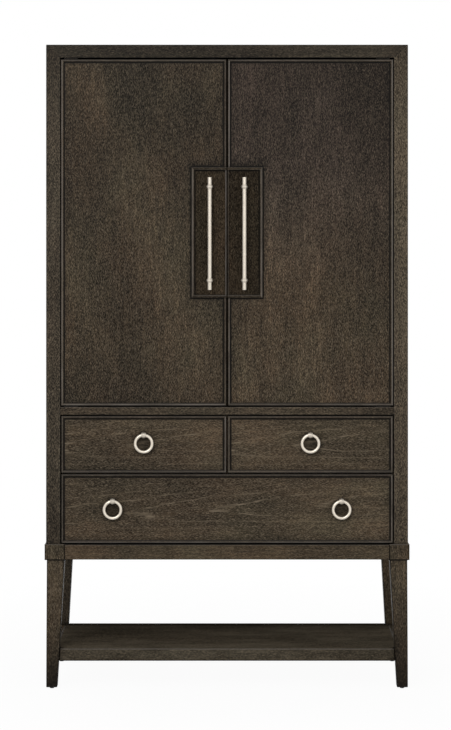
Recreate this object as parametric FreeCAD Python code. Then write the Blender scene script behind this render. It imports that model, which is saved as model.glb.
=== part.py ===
import FreeCAD, Part
import math
import os

from FreeCAD import Vector

# Bar armoire: two doors over three drawers, on a legged base with an open lower shelf.
# Millimetres, +Z up, front towards -Y, origin on the floor under the middle of the whole piece.

# Overall sizes
HEIGHT = 1981.0
BASE_WIDTH = 1122.0
BASE_DEPTH = 508.0
BASE_LEDGE = 4.5

# Base frame, legs and lower shelf
BASE_TOP = 445.5
APRON_HEIGHT = 47.5
APRON_THICKNESS = 24.0
APRON_SETBACK = 1.0
APRON_GROOVE_HEIGHT = 2.5
APRON_GROOVE_DEPTH = 12.0
APRON_LEDGE_HEIGHT = 18.0
APRON_LEDGE_LAP = 10.0
BLOCK_SIZE = 62.0
BLOCK_DROP = 1.5
BLOCK_CHAMFER = 1.2
LEG_TOP_INSET = 6.5
LEG_FOOT_INSET = 4.8
LEG_FOOT_SIZE = 33.7
GLIDE_RADIUS = 7.0
GLIDE_HEIGHT = 4.6
GLIDE_ROUND = 1.5
SHELF_TOP = 122.0
SHELF_THICKNESS = 37.5
SHELF_END_INSET = 34.5
SHELF_FRONT_INSET = 13.5
STRETCHER_THICKNESS = 20.0

# Case panels and face frame
PANEL_THICKNESS = 22.0
BOARD_THICKNESS = 18.0
BACK_THICKNESS = 10.0
FRAME_DEPTH = 22.0
STILE_WIDTH = 43.0
TOP_RAIL_HEIGHT = 40.3
MID_RAIL_HEIGHT = 24.0
MID_RAIL_SETBACK = 1.5
DUST_PANEL_THICKNESS = 16.0

# Gaps round the doors and drawer fronts
SIDE_GAP = 2.5
MEETING_GAP = 3.0
BASE_GAP = 2.0
DRAWER_GAP = 3.0
DOOR_BOTTOM_GAP = 3.5
DOOR_TOP_GAP = 4.2
STOP_GAP = 0.3

# Door and drawer fronts with their raised beads
FRONT_SETBACK = 2.0
FRONT_THICKNESS = 20.0
BEAD_WIDTH = 9.0
BEAD_RISE = 4.0
BEAD_NOSE = 3.0

# Handle plates and bar pulls
PLATE_WIDTH = 108.5
PLATE_HEIGHT = 403.0
PLATE_THICKNESS = 6.0
PLATE_BEAD_WIDTH = 10.0
PLATE_BEAD_RISE = 3.0
PLATE_BEAD_NOSE = 2.0
BAR_FROM_CENTRE = 53.2
BAR_LENGTH = 346.0
BAR_BELOW_MIDDLE = 2.8
BAR_RADIUS = 6.4
BAR_END_ROUND = 1.2
BAR_STANDOFF = 22.0
POST_SPACING = 287.0
POST_RADIUS = 5.0
COLLAR_RADIUS = 10.25
COLLAR_LENGTH = 16.0
COLLAR_FLAT = 1.6

# Screws behind the pulls
SCREW_RADIUS = 2.0
SCREW_CLEARANCE = 0.2
SCREW_HEAD_RADIUS = 4.5
SCREW_HEAD_HEIGHT = 2.5

# Door pivots
PIVOT_FROM_EDGE = 14.0
PIN_RADIUS = 2.5
PIN_LENGTH = 13.0
PIN_CLEARANCE = 0.05
SOCKET_RADIUS = 4.2
SOCKET_DEPTH = 16.0
SOCKET_SEAT = 0.1
LEAF_LENGTH = 42.0
LEAF_WIDTH = 11.0
LEAF_THICKNESS = 2.4
LEAF_COVER = 0.5

# Door catches
CATCH_FROM_CENTRE = 45.0
CATCH_WIDTH = 34.0
CATCH_DEPTH = 16.0
CATCH_OVERLAP = 14.0

# Drawers
WIDE_DRAWER_HEIGHT = 213.0
SMALL_DRAWER_HEIGHT = 176.0
BOX_SIDE_THICKNESS = 14.0
BOX_BOTTOM_THICKNESS = 6.0
BOX_BOTTOM_RISE = 10.0
BOX_GROOVE = 5.0
BOX_BACK_GAP = 47.5
BOX_CLEARANCE = 4.0
BOX_HEADROOM = 12.0
RUNNER_HEIGHT = 14.0
RUNNER_BITE = 6.0
RUNNER_INSET = 23.6
RUNNER_CLEARANCE = 0.3

# Ring pulls
RING_RADIUS = 25.9
RING_WIRE = 4.6
RING_CLEARANCE = 0.3
RING_STANDOFF = 14.0
STUD_RADIUS = 9.6
STUD_WALL = 1.0
STUD_LENGTH = 14.0
STUD_POST_RADIUS = 5.0
WIDE_RING_FROM_CENTRE = 352.0
WIDE_RING_BELOW_CENTRE = 2.5
SMALL_RING_ABOVE_CENTRE = 3.5

# Fittings behind the doors
INNER_SHELF_THICKNESS = 20.0
INNER_SHELF_SETBACK = 48.0
INNER_SHELF_CLEARANCE = 0.8
UPPER_BAY_HEIGHT = 302.5
SHELF_PIN_RADIUS = 3.0
SHELF_PIN_SEAT = 10.0
SHELF_PIN_REACH = 14.0
SHELF_PIN_INSET = 60.0
SHELF_PIN_CLEARANCE = 0.05
RACK_LENGTH = 300.0
RACK_SLOTS = 4
RACK_PITCH = 100.0
RACK_WEB_WIDTH = 12.0
RACK_WEB_HEIGHT = 18.0
RACK_FLANGE_WIDTH = 70.0
RACK_FLANGE_THICKNESS = 8.0
CRADLE_END_GAP = 10.0
CRADLE_PITCH = 120.0
CRADLE_HEIGHT = 48.0
CRADLE_THICKNESS = 20.0
CRADLE_RADIUS = 41.0
CRADLE_NOTCH = 28.0
CRADLE_SETBACK = 70.0
CRADLE_SPAN = 200.0

# Places worked out from the sizes above
CASE_WIDTH = BASE_WIDTH - 2 * BASE_LEDGE
CASE_DEPTH = BASE_DEPTH - BASE_LEDGE
FIELD_DEPTH = FRONT_SETBACK + BEAD_RISE
BAR_REACH = PLATE_THICKNESS - FIELD_DEPTH + BAR_STANDOFF
PULL_REACH = BAR_REACH + COLLAR_RADIUS
FRONT = -(CASE_DEPTH - PULL_REACH) / 2
REAR = FRONT + CASE_DEPTH
BASE_FRONT = FRONT - BASE_LEDGE
HALF_BASE = BASE_WIDTH / 2
HALF_CASE = CASE_WIDTH / 2
INNER_SIDE = HALF_CASE - PANEL_THICKNESS
OPENING = HALF_CASE - STILE_WIDTH
FRAME_BACK = FRONT + FRAME_DEPTH
FIELD = FRONT + FIELD_DEPTH
FRONTS_BACK = FIELD + FRONT_THICKNESS
STOP = FRONTS_BACK + STOP_GAP
BACK_INNER = REAR - BACK_THICKNESS
CEILING = HEIGHT - PANEL_THICKNESS
RAIL_UNDERSIDE = HEIGHT - TOP_RAIL_HEIGHT
FRONT_OUTER = OPENING - SIDE_GAP
FRONT_INNER = MEETING_GAP / 2
WIDE_BOTTOM = BASE_TOP + BASE_GAP
WIDE_TOP = WIDE_BOTTOM + WIDE_DRAWER_HEIGHT
SMALL_BOTTOM = WIDE_TOP + DRAWER_GAP
SMALL_TOP = SMALL_BOTTOM + SMALL_DRAWER_HEIGHT
MID_RAIL_BOTTOM = SMALL_TOP + DRAWER_GAP
DECK_TOP = MID_RAIL_BOTTOM + MID_RAIL_HEIGHT
DECK_BOTTOM = DECK_TOP - BOARD_THICKNESS
DOOR_BOTTOM = DECK_TOP + DOOR_BOTTOM_GAP
DOOR_TOP = RAIL_UNDERSIDE - DOOR_TOP_GAP
DOOR_MIDDLE = (DOOR_BOTTOM + DOOR_TOP) / 2
BAR_MIDDLE = DOOR_MIDDLE - BAR_BELOW_MIDDLE
FLOOR_TOP = BASE_TOP + BOARD_THICKNESS
DUST_MIDDLE = (WIDE_TOP + SMALL_BOTTOM) / 2
DUST_BOTTOM = DUST_MIDDLE - DUST_PANEL_THICKNESS / 2
DUST_TOP = DUST_MIDDLE + DUST_PANEL_THICKNESS / 2
HALF_PARTITION = BOARD_THICKNESS / 2
PLATE_FRONT = FIELD - PLATE_THICKNESS
PLATE_OUTER = FRONT_INNER + PLATE_WIDTH
PLATE_BOTTOM = DOOR_MIDDLE - PLATE_HEIGHT / 2
PLATE_TOP = DOOR_MIDDLE + PLATE_HEIGHT / 2
PIVOT_X = FRONT_OUTER - PIVOT_FROM_EDGE
PIVOT_Y = FIELD + LEAF_COVER + LEAF_WIDTH / 2
INNER_SHELF_FRONT = FRONT + INNER_SHELF_SETBACK
UPPER_SHELF_BOTTOM = CEILING - UPPER_BAY_HEIGHT - INNER_SHELF_THICKNESS
MIDDLE_SHELF_BOTTOM = (DECK_TOP + UPPER_SHELF_BOTTOM - INNER_SHELF_THICKNESS) / 2
BOX_BACK = BACK_INNER - BOX_BACK_GAP
CRADLE_LANES = int(2 * (INNER_SIDE - CRADLE_END_GAP) // CRADLE_PITCH)

X_AXIS = Vector(1, 0, 0)
Y_AXIS = Vector(0, 1, 0)
Z_AXIS = Vector(0, 0, 1)
ORIGIN = Vector(0, 0, 0)


def box(x_range, y_range, z_range):
    """A block between the low and high values given along each axis."""
    low, high = zip(x_range, y_range, z_range)
    size = [b - a for a, b in zip(low, high)]
    return Part.makeBox(*size, Vector(*low))


def mirrored(shape):
    """The same piece on the other side of the middle of the cabinet."""
    return shape.mirror(ORIGIN, X_AXIS)


def prism(points, depth_range):
    """A flat outline of (x, z) points carried along Y."""
    near, far = depth_range
    corners = [Vector(x, near, z) for x, z in points]
    outline = Part.makePolygon(corners + corners[:1])
    return Part.Face(outline).extrude(Vector(0, far - near, 0))


def turned(profile, centre, axis):
    """A solid of revolution from (along, radius) points about an axis through centre."""
    points = [Vector(along, radius, 0) for along, radius in profile]
    outline = Part.makePolygon(points + points[:1])
    solid = Part.Face(outline).revolve(ORIGIN, X_AXIS, 360)
    turn = FreeCAD.Rotation(X_AXIS, axis)
    solid.Placement = FreeCAD.Placement(centre, turn)
    return solid


def save(name, *solids):
    """Write one node: a single solid, or like pieces side by side."""
    shape = solids[0] if len(solids) == 1 else Part.makeCompound(list(solids))
    shape.exportStep(os.path.join("parts", name + ".step"))


def bead_strip(length, width, rise, nose, mitre_start, mitre_end):
    """A bead along +X from its outer edge, with rounded front edges and cut or mitred ends."""
    turn = nose * (1 - math.sqrt(0.5))
    outer = Part.Arc(Vector(0, nose - rise, 0), Vector(0, turn - rise, turn), Vector(0, -rise, nose))
    inner = Part.Arc(
        Vector(0, -rise, width - nose),
        Vector(0, turn - rise, width - turn),
        Vector(0, nose - rise, width),
    )
    corners = [(Vector(0, 0, 0), outer.StartPoint), (outer.EndPoint, inner.StartPoint)]
    corners += [(inner.EndPoint, Vector(0, 0, width)), (Vector(0, 0, width), Vector(0, 0, 0))]
    edges = [Part.makeLine(*ends) for ends in corners if ends[0].distanceToPoint(ends[1]) > 0]
    edges += [outer.toShape(), inner.toShape()]
    section = Part.Face(Part.Wire(Part.__sortEdges__(edges)))
    strip = section.extrude(Vector(length, 0, 0))
    start = width if mitre_start else 0
    end = length - width if mitre_end else length
    limits = prism([(0, 0), (length, 0), (end, width), (start, width)], (-rise, 0))
    return strip.common(limits).Solids[0]


def placed(strip, angle, x, y, z):
    """Turn a strip about Y and carry its start to a corner."""
    strip.rotate(ORIGIN, Y_AXIS, angle)
    strip.translate(Vector(x, y, z))
    return strip


def front_bead(length, mitre_start=True, mitre_end=True):
    """A bead of the size that edges the doors and drawer fronts."""
    return bead_strip(length, BEAD_WIDTH, BEAD_RISE, BEAD_NOSE, mitre_start, mitre_end)


def plate_bead(length, mitre_start, mitre_end):
    """A bead of the size that edges the handle plates."""
    return bead_strip(
        length, PLATE_BEAD_WIDTH, PLATE_BEAD_RISE, PLATE_BEAD_NOSE, mitre_start, mitre_end
    )


def screw(x, z, seat):
    """A screw through a front, from its head behind to the pull's seat."""
    shank = Part.makeCylinder(SCREW_RADIUS, FRONTS_BACK - seat, Vector(x, seat, z), Y_AXIS)
    head = Part.makeCylinder(SCREW_HEAD_RADIUS, SCREW_HEAD_HEIGHT, Vector(x, FRONTS_BACK, z), Y_AXIS)
    return shank.fuse(head).removeSplitter()


def screw_hole(x, z, near, far):
    """The clearance hole for one of those screws."""
    return Part.makeCylinder(
        SCREW_RADIUS + SCREW_CLEARANCE, far - near, Vector(x, near, z), Y_AXIS
    )


def front_right_leg():
    """A square corner block over a leg that tapers on its two inner faces."""
    block_bottom = BASE_TOP - APRON_HEIGHT - BLOCK_DROP
    block = box(
        (HALF_BASE - BLOCK_SIZE, HALF_BASE),
        (BASE_FRONT, BASE_FRONT + BLOCK_SIZE),
        (block_bottom, BASE_TOP),
    )
    block = block.makeChamfer(BLOCK_CHAMFER, block.Edges)
    levels = [
        (GLIDE_HEIGHT, LEG_FOOT_INSET, LEG_FOOT_INSET + LEG_FOOT_SIZE),
        (block_bottom + BLOCK_CHAMFER, LEG_TOP_INSET, BLOCK_SIZE - BLOCK_CHAMFER),
    ]
    squares = []
    for level, near, far in levels:
        offsets = [(near, near), (far, near), (far, far), (near, far)]
        corners = [Vector(HALF_BASE - a, BASE_FRONT + b, level) for a, b in offsets]
        squares.append(Part.makePolygon(corners + corners[:1]))
    taper = Part.makeLoft(squares, True, True)
    return block.fuse(taper).removeSplitter()


def front_right_glide():
    """A round glide under the middle of a foot."""
    reach = LEG_FOOT_INSET + LEG_FOOT_SIZE / 2
    glide = Part.makeCylinder(
        GLIDE_RADIUS, GLIDE_HEIGHT, Vector(HALF_BASE - reach, BASE_FRONT + reach, 0)
    )
    low_edges = [edge for edge in glide.Edges if edge.BoundBox.ZMax < GLIDE_HEIGHT / 2]
    return glide.makeFillet(GLIDE_ROUND, low_edges)


def four_corners(shape):
    """A front right corner piece repeated at the other three corners of the base."""
    middle = Vector(0, (BASE_FRONT + REAR) / 2, 0)
    rear = shape.mirror(middle, Y_AXIS)
    return {
        "front_right": shape,
        "front_left": mirrored(shape),
        "rear_right": rear,
        "rear_left": mirrored(rear),
    }


def build_base():
    """Legs, aprons, lower shelf and its stretchers, glides."""
    legs = four_corners(front_right_leg())
    for corner, leg in legs.items():
        save(corner + "_leg", leg)
    save("floor_glides", *four_corners(front_right_glide()).values())

    span = HALF_BASE - BLOCK_SIZE
    heights = (BASE_TOP - APRON_HEIGHT, BASE_TOP)
    near = BASE_FRONT + APRON_SETBACK
    far = REAR - APRON_SETBACK
    front_apron = box((-span, span), (near, near + APRON_THICKNESS), heights)
    shadow_groove = box(
        (-span, span), (near, near + APRON_GROOVE_DEPTH), (BASE_TOP - APRON_GROOVE_HEIGHT, BASE_TOP)
    )
    ledge = box(
        (-span, span),
        (near + APRON_THICKNESS, STOP + APRON_LEDGE_LAP),
        (BASE_TOP - APRON_LEDGE_HEIGHT, BASE_TOP),
    )
    save("front_apron", front_apron.cut(shadow_groove).fuse(ledge).removeSplitter())
    save("rear_apron", box((-span, span), (far - APRON_THICKNESS, far), heights))
    outer = HALF_BASE - APRON_SETBACK
    right_apron = box(
        (outer - APRON_THICKNESS, outer), (BASE_FRONT + BLOCK_SIZE, REAR - BLOCK_SIZE), heights
    )
    save("right_apron", right_apron)
    save("left_apron", mirrored(right_apron))

    end = HALF_BASE - SHELF_END_INSET
    levels = (SHELF_TOP - SHELF_THICKNESS, SHELF_TOP)
    depths = (BASE_FRONT + SHELF_FRONT_INSET, REAR - SHELF_FRONT_INSET)
    shelf = box((-end, end), depths, levels).cut(list(legs.values()))
    save("lower_shelf", shelf.Solids[0])
    foot_middle = LEG_FOOT_INSET + LEG_FOOT_SIZE / 2
    stretcher = box(
        (end, end + STRETCHER_THICKNESS), (BASE_FRONT + foot_middle, REAR - foot_middle), levels
    ).cut(list(legs.values()))
    save("shelf_stretchers", stretcher.Solids[0], mirrored(stretcher.Solids[0]))


def shelf_pin_places():
    """Centres of the pins under the two inner shelves, on the right side."""
    depths = (INNER_SHELF_FRONT + SHELF_PIN_INSET, BACK_INNER - SHELF_PIN_INSET)
    levels = (UPPER_SHELF_BOTTOM, MIDDLE_SHELF_BOTTOM)
    return [Vector(INNER_SIDE, y, z - SHELF_PIN_RADIUS) for y in depths for z in levels]


def build_case():
    """Sides, top, bottom, back and face frame."""
    outline = [(HALF_CASE, BASE_TOP), (INNER_SIDE, BASE_TOP), (INNER_SIDE, CEILING), (HALF_CASE, HEIGHT)]
    side = prism(outline, (FRAME_BACK, REAR))
    for place in shelf_pin_places():
        hole = Part.makeCylinder(
            SHELF_PIN_RADIUS + SHELF_PIN_CLEARANCE, SHELF_PIN_SEAT, place, X_AXIS
        )
        side = side.cut(hole)
    save("right_side", side)
    save("left_side", mirrored(side))

    top = [(-HALF_CASE, HEIGHT), (HALF_CASE, HEIGHT), (INNER_SIDE, CEILING), (-INNER_SIDE, CEILING)]
    save("case_top", prism(top, (FRAME_BACK, REAR)))
    width = (-INNER_SIDE, INNER_SIDE)
    save("case_bottom", box(width, (STOP, REAR), (BASE_TOP, FLOOR_TOP)))
    save("back_panel", box(width, (BACK_INNER, REAR), (FLOOR_TOP, CEILING)))

    frame = (FRONT, FRAME_BACK)
    stile = [(OPENING, BASE_TOP), (HALF_CASE, BASE_TOP), (HALF_CASE, HEIGHT), (OPENING, RAIL_UNDERSIDE)]
    right_stile = prism(stile, frame)
    save("right_stile", right_stile)
    save("left_stile", mirrored(right_stile))
    rail = [(-HALF_CASE, HEIGHT), (HALF_CASE, HEIGHT), (OPENING, RAIL_UNDERSIDE), (-OPENING, RAIL_UNDERSIDE)]
    save("top_rail", prism(rail, frame))
    save(
        "mid_rail",
        box((-OPENING, OPENING), (FRONT + MID_RAIL_SETBACK, FRAME_BACK), (MID_RAIL_BOTTOM, DECK_TOP)),
    )
    save("bar_deck", box(width, (FRAME_BACK, BACK_INNER), (DECK_BOTTOM, DECK_TOP)))
    save("dust_panel", box(width, (STOP, BACK_INNER), (DUST_BOTTOM, DUST_TOP)))
    save(
        "drawer_partition",
        box((-HALF_PARTITION, HALF_PARTITION), (STOP, BACK_INNER), (DUST_TOP, DECK_BOTTOM)),
    )


def build_inner_fittings():
    """Shelves on pins, stemware rails under the upper shelf, bottle cradles on the deck."""
    reach = INNER_SIDE - INNER_SHELF_CLEARANCE
    shelves = {"upper_shelf": UPPER_SHELF_BOTTOM, "middle_shelf": MIDDLE_SHELF_BOTTOM}
    for name, bottom in shelves.items():
        levels = (bottom, bottom + INNER_SHELF_THICKNESS)
        save(name, box((-reach, reach), (INNER_SHELF_FRONT, BACK_INNER), levels))
    pins = []
    for place in shelf_pin_places():
        start = place + Vector(-SHELF_PIN_REACH, 0, 0)
        pins.append(Part.makeCylinder(SHELF_PIN_RADIUS, SHELF_PIN_REACH + SHELF_PIN_SEAT, start, X_AXIS))
    save("shelf_pins", *pins, *[mirrored(pin) for pin in pins])

    depths = (INNER_SHELF_FRONT, INNER_SHELF_FRONT + RACK_LENGTH)
    web_bottom = UPPER_SHELF_BOTTOM - RACK_WEB_HEIGHT
    rails = []
    for index in range(RACK_SLOTS + 1):
        x = (index - RACK_SLOTS / 2) * RACK_PITCH
        web = box(
            (x - RACK_WEB_WIDTH / 2, x + RACK_WEB_WIDTH / 2), depths, (web_bottom, UPPER_SHELF_BOTTOM)
        )
        flange = box(
            (x - RACK_FLANGE_WIDTH / 2, x + RACK_FLANGE_WIDTH / 2),
            depths,
            (web_bottom - RACK_FLANGE_THICKNESS, web_bottom),
        )
        rails.append(web.fuse(flange).removeSplitter())
    save("stemware_rails", *rails)

    half = CRADLE_LANES * CRADLE_PITCH / 2
    top = DECK_TOP + CRADLE_HEIGHT
    centre = top + CRADLE_RADIUS - CRADLE_NOTCH
    cradles = []
    for y in (INNER_SHELF_FRONT + CRADLE_SETBACK, INNER_SHELF_FRONT + CRADLE_SETBACK + CRADLE_SPAN):
        rail = box((-half, half), (y, y + CRADLE_THICKNESS), (DECK_TOP, top))
        for lane in range(CRADLE_LANES):
            x = (lane + 0.5) * CRADLE_PITCH - half
            rail = rail.cut(
                Part.makeCylinder(CRADLE_RADIUS, CRADLE_THICKNESS, Vector(x, y, centre), Y_AXIS)
            )
        cradles.append(rail)
    save("bottle_cradles", *cradles)


def pivot_plate(level, direction):
    """A leaf screwed to a rail, with the pin that enters the door's edge."""
    leaf = box(
        (PIVOT_X - LEAF_LENGTH + SOCKET_RADIUS, PIVOT_X + SOCKET_RADIUS),
        (PIVOT_Y - LEAF_WIDTH / 2, PIVOT_Y + LEAF_WIDTH / 2),
        sorted((level, level + direction * LEAF_THICKNESS)),
    )
    pin = Part.makeCylinder(
        PIN_RADIUS, PIN_LENGTH, Vector(PIVOT_X, PIVOT_Y, level), Z_AXIS * direction
    )
    return leaf.fuse(pin).removeSplitter()


def socket_blank(level, direction, spare):
    """The outside of a door socket: a leaf let into the edge over a round bush."""
    leaf = box(
        (PIVOT_X - LEAF_LENGTH + SOCKET_RADIUS - spare, PIVOT_X + SOCKET_RADIUS + spare),
        (PIVOT_Y - LEAF_WIDTH / 2 - spare, PIVOT_Y + LEAF_WIDTH / 2 + spare),
        sorted((level, level + direction * LEAF_THICKNESS)),
    )
    bush = Part.makeCylinder(
        SOCKET_RADIUS + spare, SOCKET_DEPTH, Vector(PIVOT_X, PIVOT_Y, level), Z_AXIS * direction
    )
    return leaf.fuse(bush).removeSplitter()


def pivot_socket(level, direction):
    """A door socket with the bore that the pin turns in."""
    bore = Part.makeCylinder(
        PIN_RADIUS + PIN_CLEARANCE, PIN_LENGTH, Vector(PIVOT_X, PIVOT_Y, level), Z_AXIS * direction
    )
    return socket_blank(level, direction, 0).cut(bore)


def bar_pull():
    """A round bar with a diamond collar at each post, the posts, and their screws."""
    y = PLATE_FRONT - BAR_STANDOFF
    bar = Part.makeCylinder(
        BAR_RADIUS, BAR_LENGTH, Vector(BAR_FROM_CENTRE, y, BAR_MIDDLE - BAR_LENGTH / 2)
    )
    ends = [edge for edge in bar.Edges if len(edge.Vertexes) == 1]
    bar = bar.makeFillet(BAR_END_ROUND, ends)
    post_levels = [BAR_MIDDLE + side * POST_SPACING / 2 for side in (-1, 1)]
    half = COLLAR_LENGTH / 2
    flat = COLLAR_FLAT / 2
    profile = [(-half, 0), (-half, BAR_RADIUS), (-flat, COLLAR_RADIUS)]
    profile += [(flat, COLLAR_RADIUS), (half, BAR_RADIUS), (half, 0)]
    for level in post_levels:
        bar = bar.fuse(turned(profile, Vector(BAR_FROM_CENTRE, y, level), Z_AXIS))
    bar = bar.removeSplitter()
    pieces = [bar]
    for level in post_levels:
        post = Part.makeCylinder(POST_RADIUS, BAR_STANDOFF, Vector(BAR_FROM_CENTRE, y, level), Y_AXIS)
        pieces.append(post.cut(bar).Solids[0])
        pieces.append(screw(BAR_FROM_CENTRE, level, PLATE_FRONT))
    return pieces


def build_doors():
    """The right door with its pivots, and the left one as its mirror image."""
    ends = ((DOOR_BOTTOM, 1), (DOOR_TOP, -1))
    post_levels = [BAR_MIDDLE + side * POST_SPACING / 2 for side in (-1, 1)]
    panel = box((FRONT_INNER, FRONT_OUTER), (FIELD, FRONTS_BACK), (DOOR_BOTTOM, DOOR_TOP))
    panel = panel.cut([socket_blank(level, way, SOCKET_SEAT) for level, way in ends])
    panel = panel.cut([screw_hole(BAR_FROM_CENTRE, level, FIELD, FRONTS_BACK) for level in post_levels])
    plate = box((FRONT_INNER, PLATE_OUTER), (PLATE_FRONT, FIELD), (PLATE_BOTTOM, PLATE_TOP))
    plate = plate.cut([screw_hole(BAR_FROM_CENTRE, level, PLATE_FRONT, FIELD) for level in post_levels])

    width = FRONT_OUTER - FRONT_INNER
    height = DOOR_TOP - DOOR_BOTTOM
    beads = [
        placed(front_bead(width), 0, FRONT_INNER, FIELD, DOOR_BOTTOM),
        placed(front_bead(height), -90, FRONT_OUTER, FIELD, DOOR_BOTTOM),
        placed(front_bead(width), 180, FRONT_OUTER, FIELD, DOOR_TOP),
        placed(front_bead(DOOR_TOP - PLATE_TOP, True, False), 90, FRONT_INNER, FIELD, DOOR_TOP),
        placed(front_bead(PLATE_BOTTOM - DOOR_BOTTOM, False, True), 90, FRONT_INNER, FIELD, PLATE_BOTTOM),
        placed(plate_bead(PLATE_WIDTH, False, True), 0, FRONT_INNER, PLATE_FRONT, PLATE_BOTTOM),
        placed(plate_bead(PLATE_HEIGHT, True, True), -90, PLATE_OUTER, PLATE_FRONT, PLATE_BOTTOM),
        placed(plate_bead(PLATE_WIDTH, True, False), 180, PLATE_OUTER, PLATE_FRONT, PLATE_TOP),
    ]
    nodes = {
        "door_panel": [panel],
        "door_beading": beads,
        "handle_plate": [plate],
        "bar_pull": bar_pull(),
        "pivot_sockets": [pivot_socket(level, way) for level, way in ends],
    }
    for name, solids in nodes.items():
        save("right_" + name, *solids)
        save("left_" + name, *[mirrored(solid) for solid in solids])

    plates = [pivot_plate(DECK_TOP, 1), pivot_plate(RAIL_UNDERSIDE, -1)]
    save("pivot_plates", *plates, *[mirrored(plate) for plate in plates])
    catch = box(
        (CATCH_FROM_CENTRE - CATCH_WIDTH / 2, CATCH_FROM_CENTRE + CATCH_WIDTH / 2),
        (STOP, STOP + CATCH_DEPTH),
        (DOOR_TOP - CATCH_OVERLAP, CEILING),
    )
    save("door_catches", catch, mirrored(catch))


def ring_stud(x, z):
    """A diamond stud that the ring runs through, on a post, with a bell-mouthed hole along X."""
    y = FIELD - RING_STANDOFF
    half = STUD_LENGTH / 2
    throat = RING_RADIUS - RING_WIRE - RING_CLEARANCE
    neck = RING_RADIUS - throat
    mouth = RING_RADIUS - math.sqrt(throat ** 2 - half ** 2)
    rim = mouth + STUD_WALL
    profile = [(-half, 0), (-half, rim), (0, STUD_RADIUS), (half, rim), (half, 0)]
    stud = turned(profile, Vector(x, y, z), X_AXIS)
    post = Part.makeCylinder(STUD_POST_RADIUS, RING_STANDOFF, Vector(x, y, z), Y_AXIS)
    stud = stud.fuse(post).removeSplitter()
    ends = [Vector(-half, mouth, 0), Vector(half, mouth, 0)]
    edges = [
        Part.makeLine(Vector(-half, 0, 0), Vector(half, 0, 0)),
        Part.makeLine(Vector(half, 0, 0), ends[1]),
        Part.Arc(ends[1], Vector(0, neck, 0), ends[0]).toShape(),
        Part.makeLine(ends[0], Vector(-half, 0, 0)),
    ]
    hole = Part.Face(Part.Wire(edges)).revolve(ORIGIN, X_AXIS, 360)
    hole.translate(Vector(x, y, z))
    return stud.cut(hole).Solids[0]


def ring(x, z):
    """A ring hanging straight down from the stud at (x, z)."""
    return Part.makeTorus(
        RING_RADIUS, RING_WIRE, Vector(x, FIELD - RING_STANDOFF, z - RING_RADIUS), Y_AXIS
    )


def front_with_bead(x_range, z_range, studs):
    """A drawer front with screw holes behind its studs, and the four strips of its bead."""
    (left, right), (bottom, top) = x_range, z_range
    front = box(x_range, (FIELD, FRONTS_BACK), z_range)
    front = front.cut([screw_hole(x, z, FIELD, FRONTS_BACK) for x, z in studs])
    beads = [
        placed(front_bead(right - left), 0, left, FIELD, bottom),
        placed(front_bead(top - bottom), -90, right, FIELD, bottom),
        placed(front_bead(right - left), 180, right, FIELD, top),
        placed(front_bead(top - bottom), 90, left, FIELD, top),
    ]
    return front, beads


def drawer_box(x_range, z_range, runner_level):
    """Two sides grooved for the runners, a back between them, and a bottom let into them."""
    left, right = x_range
    low, high = z_range
    near = FRONTS_BACK
    far = BOX_BACK
    bottom = box(
        (left + BOX_SIDE_THICKNESS - BOX_GROOVE, right - BOX_SIDE_THICKNESS + BOX_GROOVE),
        (near, far),
        (low + BOX_BOTTOM_RISE, low + BOX_BOTTOM_RISE + BOX_BOTTOM_THICKNESS),
    )
    slot = (runner_level - RUNNER_CLEARANCE, runner_level + RUNNER_HEIGHT + RUNNER_CLEARANCE)
    bite = RUNNER_BITE + RUNNER_CLEARANCE
    sides = [
        box((left, left + BOX_SIDE_THICKNESS), (near, far), z_range).cut(
            box((left, left + bite), (near, far), slot)
        ),
        box((right - BOX_SIDE_THICKNESS, right), (near, far), z_range).cut(
            box((right - bite, right), (near, far), slot)
        ),
    ]
    sides = [side.cut(bottom) for side in sides]
    back = box(
        (left + BOX_SIDE_THICKNESS, right - BOX_SIDE_THICKNESS),
        (far - BOX_SIDE_THICKNESS, far),
        (low + BOX_BOTTOM_RISE + BOX_BOTTOM_THICKNESS, high),
    )
    return sides + [back], bottom


def runner(x_range, level):
    """A hardwood strip that a drawer side's groove runs on."""
    depths = (STOP + RUNNER_INSET, BACK_INNER - RUNNER_INSET)
    return box(x_range, depths, (level, level + RUNNER_HEIGHT))


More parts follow.
